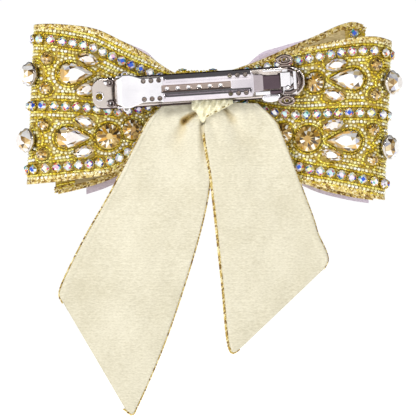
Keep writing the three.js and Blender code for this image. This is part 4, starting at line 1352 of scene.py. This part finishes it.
def arm_depth(u, v):
    """The arm's front face: rolled over the hinge at its left end, with two ribs, a groove and its pits."""
    y = ARM["y"]
    roll_from, roll_radius = PIN["u"] + 0.4, 2.7
    if u < roll_from:
        y += roll_radius - math.sqrt(max(roll_radius ** 2 - (roll_from - u) ** 2, 0.05))
    if u > ARM["right"]:
        y += (TONGUE["y"] - ARM["y"]) * smooth_step((u - ARM["right"]) / 3)
    inside_rib = min(u - RIB["left"], RIB["right"] - u)
    for side in (-1, 1):
        away = (v - side * RIB["offset"]) / RIB["half_width"]
        reach = smooth_step(inside_rib / 1.2)
        if abs(away) < 1 and reach > 0:
            y -= RIB["height"] * reach * math.cos(away * math.pi / 2) ** 2
    inside_groove = min(u - GROOVE["left"], GROOVE["right"] - u, GROOVE["half_width"] - abs(v))
    y += GROOVE["depth"] * smooth_step(inside_groove / 0.4)
    for away in pits_away(u, v):
        y += PITS["depth"] * math.exp(-away * away * 1.5)
    return y


def arm_tint(u, v):
    """Painted light on the arm: its tongue painted dark as shade, white glints painted in the pits, shade
    painted in the groove and on the neck, and a light shade painted from the ribs onwards.
    """
    # painted shade: the tongue under the clasp is painted dark
    if u > TONGUE["left"]:
        return DARK
    # painted highlight: the pits are painted white as glints
    if min(pits_away(u, v)) < 1:
        return BRIGHT
    # painted shade in the groove
    if GROOVE["left"] < u < GROOVE["right"] and abs(v) < GROOVE["half_width"]:
        return SHADED
    # painted shade on the neck
    if u > ARM["right"]:
        return MID_SHADE
    # painted shade from the ribs on; the hinge end keeps the metal's own white
    return LIGHT_SHADE if u > RIB["left"] else BRIGHT


def arm_holes():
    return [(start + k * HOLE["pitch"], side * HOLE["v"], HOLE["radius"])
            for start in HOLE_GROUPS for side in (-1, 1) for k in range(3)]


def build_arm():
    step = 0.25
    us = np.concatenate([np.linspace(ARM["left"], PIN["u"] + 1, 22),
                         np.arange(PIN["u"] + 1 + step, TONGUE["right"], step)])
    points, faces = pressed_strip(us, arm_half_width, arm_depth, ARM["thickness"], 50)
    tints = [arm_tint(*np.mean([[points[i][0], points[i][2]] for i in face], axis=0)) for face in faces]
    arm = barrette_piece("arm_plate", (points, faces), "top_arm", "arm", tints)
    cut_holes(arm, arm_holes(), -6, 2)
    # painted shade: dark rings round the holes make them read as dark openings
    rim = bent_wire(HOLE["radius"] + 0.02, 0.2)
    rims = [moved_to(rim, (u, arm_depth(u, v) - 0.02, v)) for u, v, _ in arm_holes()]
    barrette_piece("arm_hole_shade_rims", joined(*rims), body="arm", tint=DEEP_SHADE)
    barrette_piece("arm_knuckle", about_pin(barrel(**KNUCKLE), 32), body="arm", tint=SHADED)


PLATE_TINT = srgb(222, 212, 202)
DARK_RIM = 0.55                    # the width of the base plate's edge that is painted dark as shade
END_HOLE = dict(u=-36.9, v=-1.1, radius=1.3)
SHADE_COILS = dict(u=-32.6, v=3.9, above_base=1.3)
RIVETS = dict(hinge_rivet_upper=(-34.2, 4.0), hinge_rivet_lower=(-33.4, -3.6))      # (u, v) of each


def base_half_width(u):
    side = "left" if u < 0 else "right"
    corner = BASE_CORNER[side]
    from_end = min(abs(u - BASE[side]), corner)
    return BASE["half_width"] - corner + max(math.sqrt(corner ** 2 - (corner - from_end) ** 2), 0.3 * corner)


def build_base():
    """The bowed base plate with its end hole and its long edges painted dark as shade, the hinge's ears, and
    two dark coils beside them as painted shade.
    """
    ease = (1 - np.cos(np.linspace(0, math.pi, 120))) / 2
    us = BASE["left"] + (BASE["right"] - BASE["left"]) * ease
    thickness = BASE["thickness"]
    strip = pressed_strip(us, base_half_width, lambda u, _: base_y(u) - thickness / 2, thickness, 24)
    points, faces = strip
    across = [abs(np.mean([points[i][2] for i in face])) for face in faces]
    # painted shade: the plate's rolled long edges are painted dark
    tints = [DARK if away > BASE["half_width"] - DARK_RIM else PLATE_TINT for away in across]
    plate = barrette_piece("base_strip", strip, "base_plate", tints=tints)
    u, v = END_HOLE["u"], END_HOLE["v"]
    cut_holes(plate, [(u, v, END_HOLE["radius"])], -2, 8)
    parts = [moved_to(bent_wire(1.5, 0.28), (u, base_y(u) - 0.5, v))]
    for side in (-1, 1):
        parts.append(block((3.8, 5.6, 0.8), (PIN["u"], PIN["y"] + 1.4, side * 5.7), 0.3))
        parts.append(moved_to(bent_wire(1.0, 0.38), (PIN["u"] + 1.6, PIN["y"] - 0.6, side * 6.3)))
    barrette_piece("base_ears", joined(*parts))
    # painted shade: two dark coils stand in the shadow beside the hinge
    coil_y = base_y(SHADE_COILS["u"]) - SHADE_COILS["above_base"]
    coils = [moved_to(bent_wire(1.0, 0.5), (SHADE_COILS["u"], coil_y, side * SHADE_COILS["v"])) for side in (-1, 1)]
    barrette_piece("hinge_shade_coils", joined(*coils), tint=DEEP_SHADE)


def build_hinge():
    """The hinge pin and the heads of the three rivets."""
    shaft = {key: PIN[key] for key in ("half", "bevel", "radius", "tip")}
    barrette_piece("pin", about_pin(barrel(**shaft), 24), "hinge_pin", tint=SHADED)
    head = facing_out([(0.0, 1.0), (-0.3, 0.95), (-0.5, 0.6), (-0.58, 0.15)], 20)
    for name, (u, v) in RIVETS.items():
        barrette_piece(f"{name}_head", moved_to(head, (u, base_y(u) - 0.7, v)), name)
    barrette_piece("clasp_rivet_head", moved_to(head, (33.6, -2.3, -2.4), (0.8, 1, 0.8)), "clasp_rivet")


TENSION = dict(left=-26.4, right=28, half_width=3.0, middle_y=4.95, drop=2.6, thickness=0.5, eye_v=4.1)


def tension_half_width(u):
    """The tension bar has round ends."""
    middle, half_length = (TENSION["left"] + TENSION["right"]) / 2, (TENSION["right"] - TENSION["left"]) / 2
    into_end = max(0, abs(u - middle) - half_length + TENSION["half_width"])
    return math.sqrt(max(TENSION["half_width"] ** 2 - into_end ** 2, 1))


def tension_depth(u, _):
    return TENSION["middle_y"] - TENSION["drop"] * (u / TENSION["right"]) ** 2


def build_tension_bar():
    """The bowed bar that presses the hair against the arm, with two eyes on the hinge pin."""
    us = np.linspace(TENSION["left"], TENSION["right"], 70)
    bar = pressed_strip(us, tension_half_width, tension_depth, TENSION["thickness"], 12)
    barrette_piece("tension_strip", bar, "tension_bar", "tension", tint=SHADED)
    eyes = []
    for v in (-TENSION["eye_v"], TENSION["eye_v"]):
        eyes.append(block((3.6, 0.5, 1.1), (PIN["u"] + 1.6, PIN["y"] + 1.9, v), 0.15))
        eyes.append(about_pin(barrel(half=0.55, bevel=0.05, radius=1.4, tip=0.95), 20, v))
    barrette_piece("tension_eyes", joined(*eyes), body="tension", tint=SHADED)


CLASP_BRIDGE = dict(foot=dict(size=(5.4, 0.8, 9.6), at=(34.4, base_y(34) - 1.1, 0), radius=0.25),
                    post=dict(size=(1.2, 4.2, 7.0), at=(36.4, 0.1, 0.2), radius=0.3),
                    lip=dict(size=(3.8, 0.9, 5.6), at=(32.9, -1.6, 0.7), radius=0.4))
CLASP_SIDE_BARS = dict(upper=dict(size=(7.0, 1.4, 0.8), at=(28.0, -0.6, 4.3), radius=0.2),
                       lower=dict(size=(5.6, 1.0, 1.5), at=(24.2, -0.9, -3.9), radius=0.3))
CLASP_SLOT = dict(size=(4.6, 0.8, 1.3), at=(29.2, -0.3, -3.6), radius=0.25)
EARS = [("upper", 1, 8.1), ("lower", -1, 7.2)]      # each ear's name, its side and how far out its ring is


def build_clasp():
    """The clasp: a bridge with a bright lip, curls round it painted dark as reflections, side bars, a catch,
    a dark block as painted shade in its slot, and two sprung ears.
    """
    barrette_piece("clasp_bridge_body", joined(*[block(**part) for part in CLASP_BRIDGE.values()]),
                   "clasp_bridge", smooth=False)
    # painted dark reflection: the curls are painted dark
    curls = [moved_to(bent_wire(4.3, 0.75, arc=(-1.9, 1.5)), (33.6, -0.7, 0.1)),
             moved_to(bent_wire(2.6, 0.6, arc=(-1.7, 1.7)), (34.0, -1.2, 0.3)),
             block((1.2, 0.9, 6.4), (30.6, -0.1, 0.1), 0.3)]
    barrette_piece("clasp_curls", joined(*curls), tint=DEEP_SHADE)
    barrette_piece("clasp_side_bars", joined(*[block(**bar) for bar in CLASP_SIDE_BARS.values()]),
                   smooth=False)
    catch = facing_out(barrel(half=0.45, bevel=0.15, radius=1.75, tip=1.5), 24)
    barrette_piece("clasp_catch", moved_to(catch, (27.4, 0.9, -5.7), (2.1, 1, 1)))
    # painted shade: a dark block where the slot lies in shadow
    barrette_piece("clasp_slot", block(**CLASP_SLOT), tint=DARK)
    for name, side, out in EARS:
        ring = moved_to(bent_wire(2.5, 0.85, squash=0.6, sides=32), (33.0, 0.2, side * out))
        swirl = moved_to(bent_wire(1.0, 0.45, squash=0.8, sides=20), (33.0, 0.1, side * out))
        stalk = block((4.4, 3.0, 0.8), (33.0, 1.6, side * 5.9), 0.2)
        barrette_piece(f"clasp_ear_{name}", joined(ring, swirl, stalk), f"clasp_wing_{name}", f"wing_{name}",
                       tint=SHADED)


# ---------------------------------------------------------------- stage

def add_camera():
    """The camera looks straight along +Y at the hair side, the bow filling the frame."""
    distance, frame_width = 1100.0, 155.4
    middle_x, middle_z = 3.9, -45.2
    camera = bpy.data.cameras.new("camera")
    camera.sensor_width = 36
    camera.lens = camera.sensor_width * distance / frame_width
    holder = bpy.data.objects.new("camera", camera)
    holder.location = Vector((middle_x, -distance, middle_z)) * MM
    holder.rotation_euler = (math.radians(90), 0, 0)
    bpy.context.collection.objects.link(holder)
    bpy.context.scene.camera = holder


def add_light(name, location_mm, size_mm, power, in_reflections=False, target_mm=(0, 0, -30)):
    light = bpy.data.lights.new(name, "AREA")
    light.shape = "RECTANGLE"
    light.size, light.size_y = size_mm[0] * MM, size_mm[1] * MM
    light.energy = power
    holder = bpy.data.objects.new(name, light)
    holder.location = Vector(location_mm) * MM
    aim = Vector(target_mm) * MM - holder.location
    holder.rotation_euler = aim.to_track_quat("-Z", "Y").to_euler()
    holder.visible_glossy = in_reflections
    bpy.context.collection.objects.link(holder)


def add_world():
    """White for the camera; elsewhere a white room under a dark ceiling, stronger in reflections."""
    world = bpy.data.worlds.new("studio")
    bpy.context.scene.world = world
    world.use_nodes = True
    nodes, links = world.node_tree.nodes, world.node_tree.links
    nodes.clear()
    output = nodes.new("ShaderNodeOutputWorld")
    backdrop = nodes.new("ShaderNodeBackground")
    backdrop.inputs["Color"].default_value = (1, 1, 1, 1)
    backdrop.inputs["Strength"].default_value = 1.02
    room = nodes.new("ShaderNodeBackground")
    strength = nodes.new("ShaderNodeMapRange")
    strength.inputs["To Min"].default_value = 0.5
    strength.inputs["To Max"].default_value = 1.0
    coordinates = nodes.new("ShaderNodeTexCoord")
    split = nodes.new("ShaderNodeSeparateXYZ")
    ramp = nodes.new("ShaderNodeValToRGB")
    bands = [(0.0, 0.95), (0.56, 1.12), (0.63, 0.16), (1.0, 0.11)]
    shift = nodes.new("ShaderNodeMapRange")
    shift.inputs["From Min"].default_value = -1
    for element, (position, light) in zip(ramp.color_ramp.elements, bands):
        element.position, element.color = position, (light, light, light, 1)
    for position, light in bands[2:]:
        ramp.color_ramp.elements.new(position).color = (light, light, light, 1)
    mix = nodes.new("ShaderNodeMixShader")
    path = nodes.new("ShaderNodeLightPath")
    links.new(coordinates.outputs["Generated"], split.inputs["Vector"])
    links.new(split.outputs["Z"], shift.inputs["Value"])
    links.new(shift.outputs["Result"], ramp.inputs["Fac"])
    links.new(ramp.outputs["Color"], room.inputs["Color"])
    links.new(path.outputs["Is Glossy Ray"], strength.inputs["Value"])
    links.new(strength.outputs["Result"], room.inputs["Strength"])
    links.new(path.outputs["Is Camera Ray"], mix.inputs["Fac"])
    links.new(room.outputs["Background"], mix.inputs[1])
    links.new(backdrop.outputs["Background"], mix.inputs[2])
    links.new(mix.outputs["Shader"], output.inputs["Surface"])


def add_floor():
    """A wide pale floor just below the tails."""
    floor_z = CAD_BOX[0][2] - 4 * MM
    size = 4.0
    mesh = bpy.data.meshes.new("floor")
    corners = [(-size, -size, floor_z), (size, -size, floor_z), (size, size, floor_z), (-size, size, floor_z)]
    mesh.from_pydata(corners, [], [(0, 1, 2, 3)])
    floor = bpy.data.objects.new("floor", mesh)
    bpy.context.collection.objects.link(floor)
    made = Material("floor", Roughness=0.9, Base_Color=(0.3, 0.3, 0.3, 1))
    made.shader.inputs["Emission Color"].default_value = (1, 1, 1, 1)
    made.shader.inputs["Emission Strength"].default_value = 1.0
    mesh.materials.append(made.data)


# ---------------------------------------------------------------- the object

for side in LOOPS:
    build_loop(side)
    build_wing(side)
build_base()
build_hinge()
build_arm()
build_tension_bar()
build_clasp()
build_knot_band()
build_wrap()
for tail_name in TAILS:
    build_tail(tail_name)

add_camera()
add_world()
add_floor()
add_light("key", (-420, -420, 380), (200, 200), 3.9)
add_light("fill", (450, -450, 160), (350, 500), 0.95)
add_light("back", (0, 500, 350), (700, 400), 2.4)
add_light("sparkle_left", (-300, -500, 120), (60, 60), 0.42, in_reflections=True)
add_light("sparkle_right", (250, -420, 260), (60, 60), 0.34, in_reflections=True)
bpy.context.scene.view_settings.view_transform = "Standard"
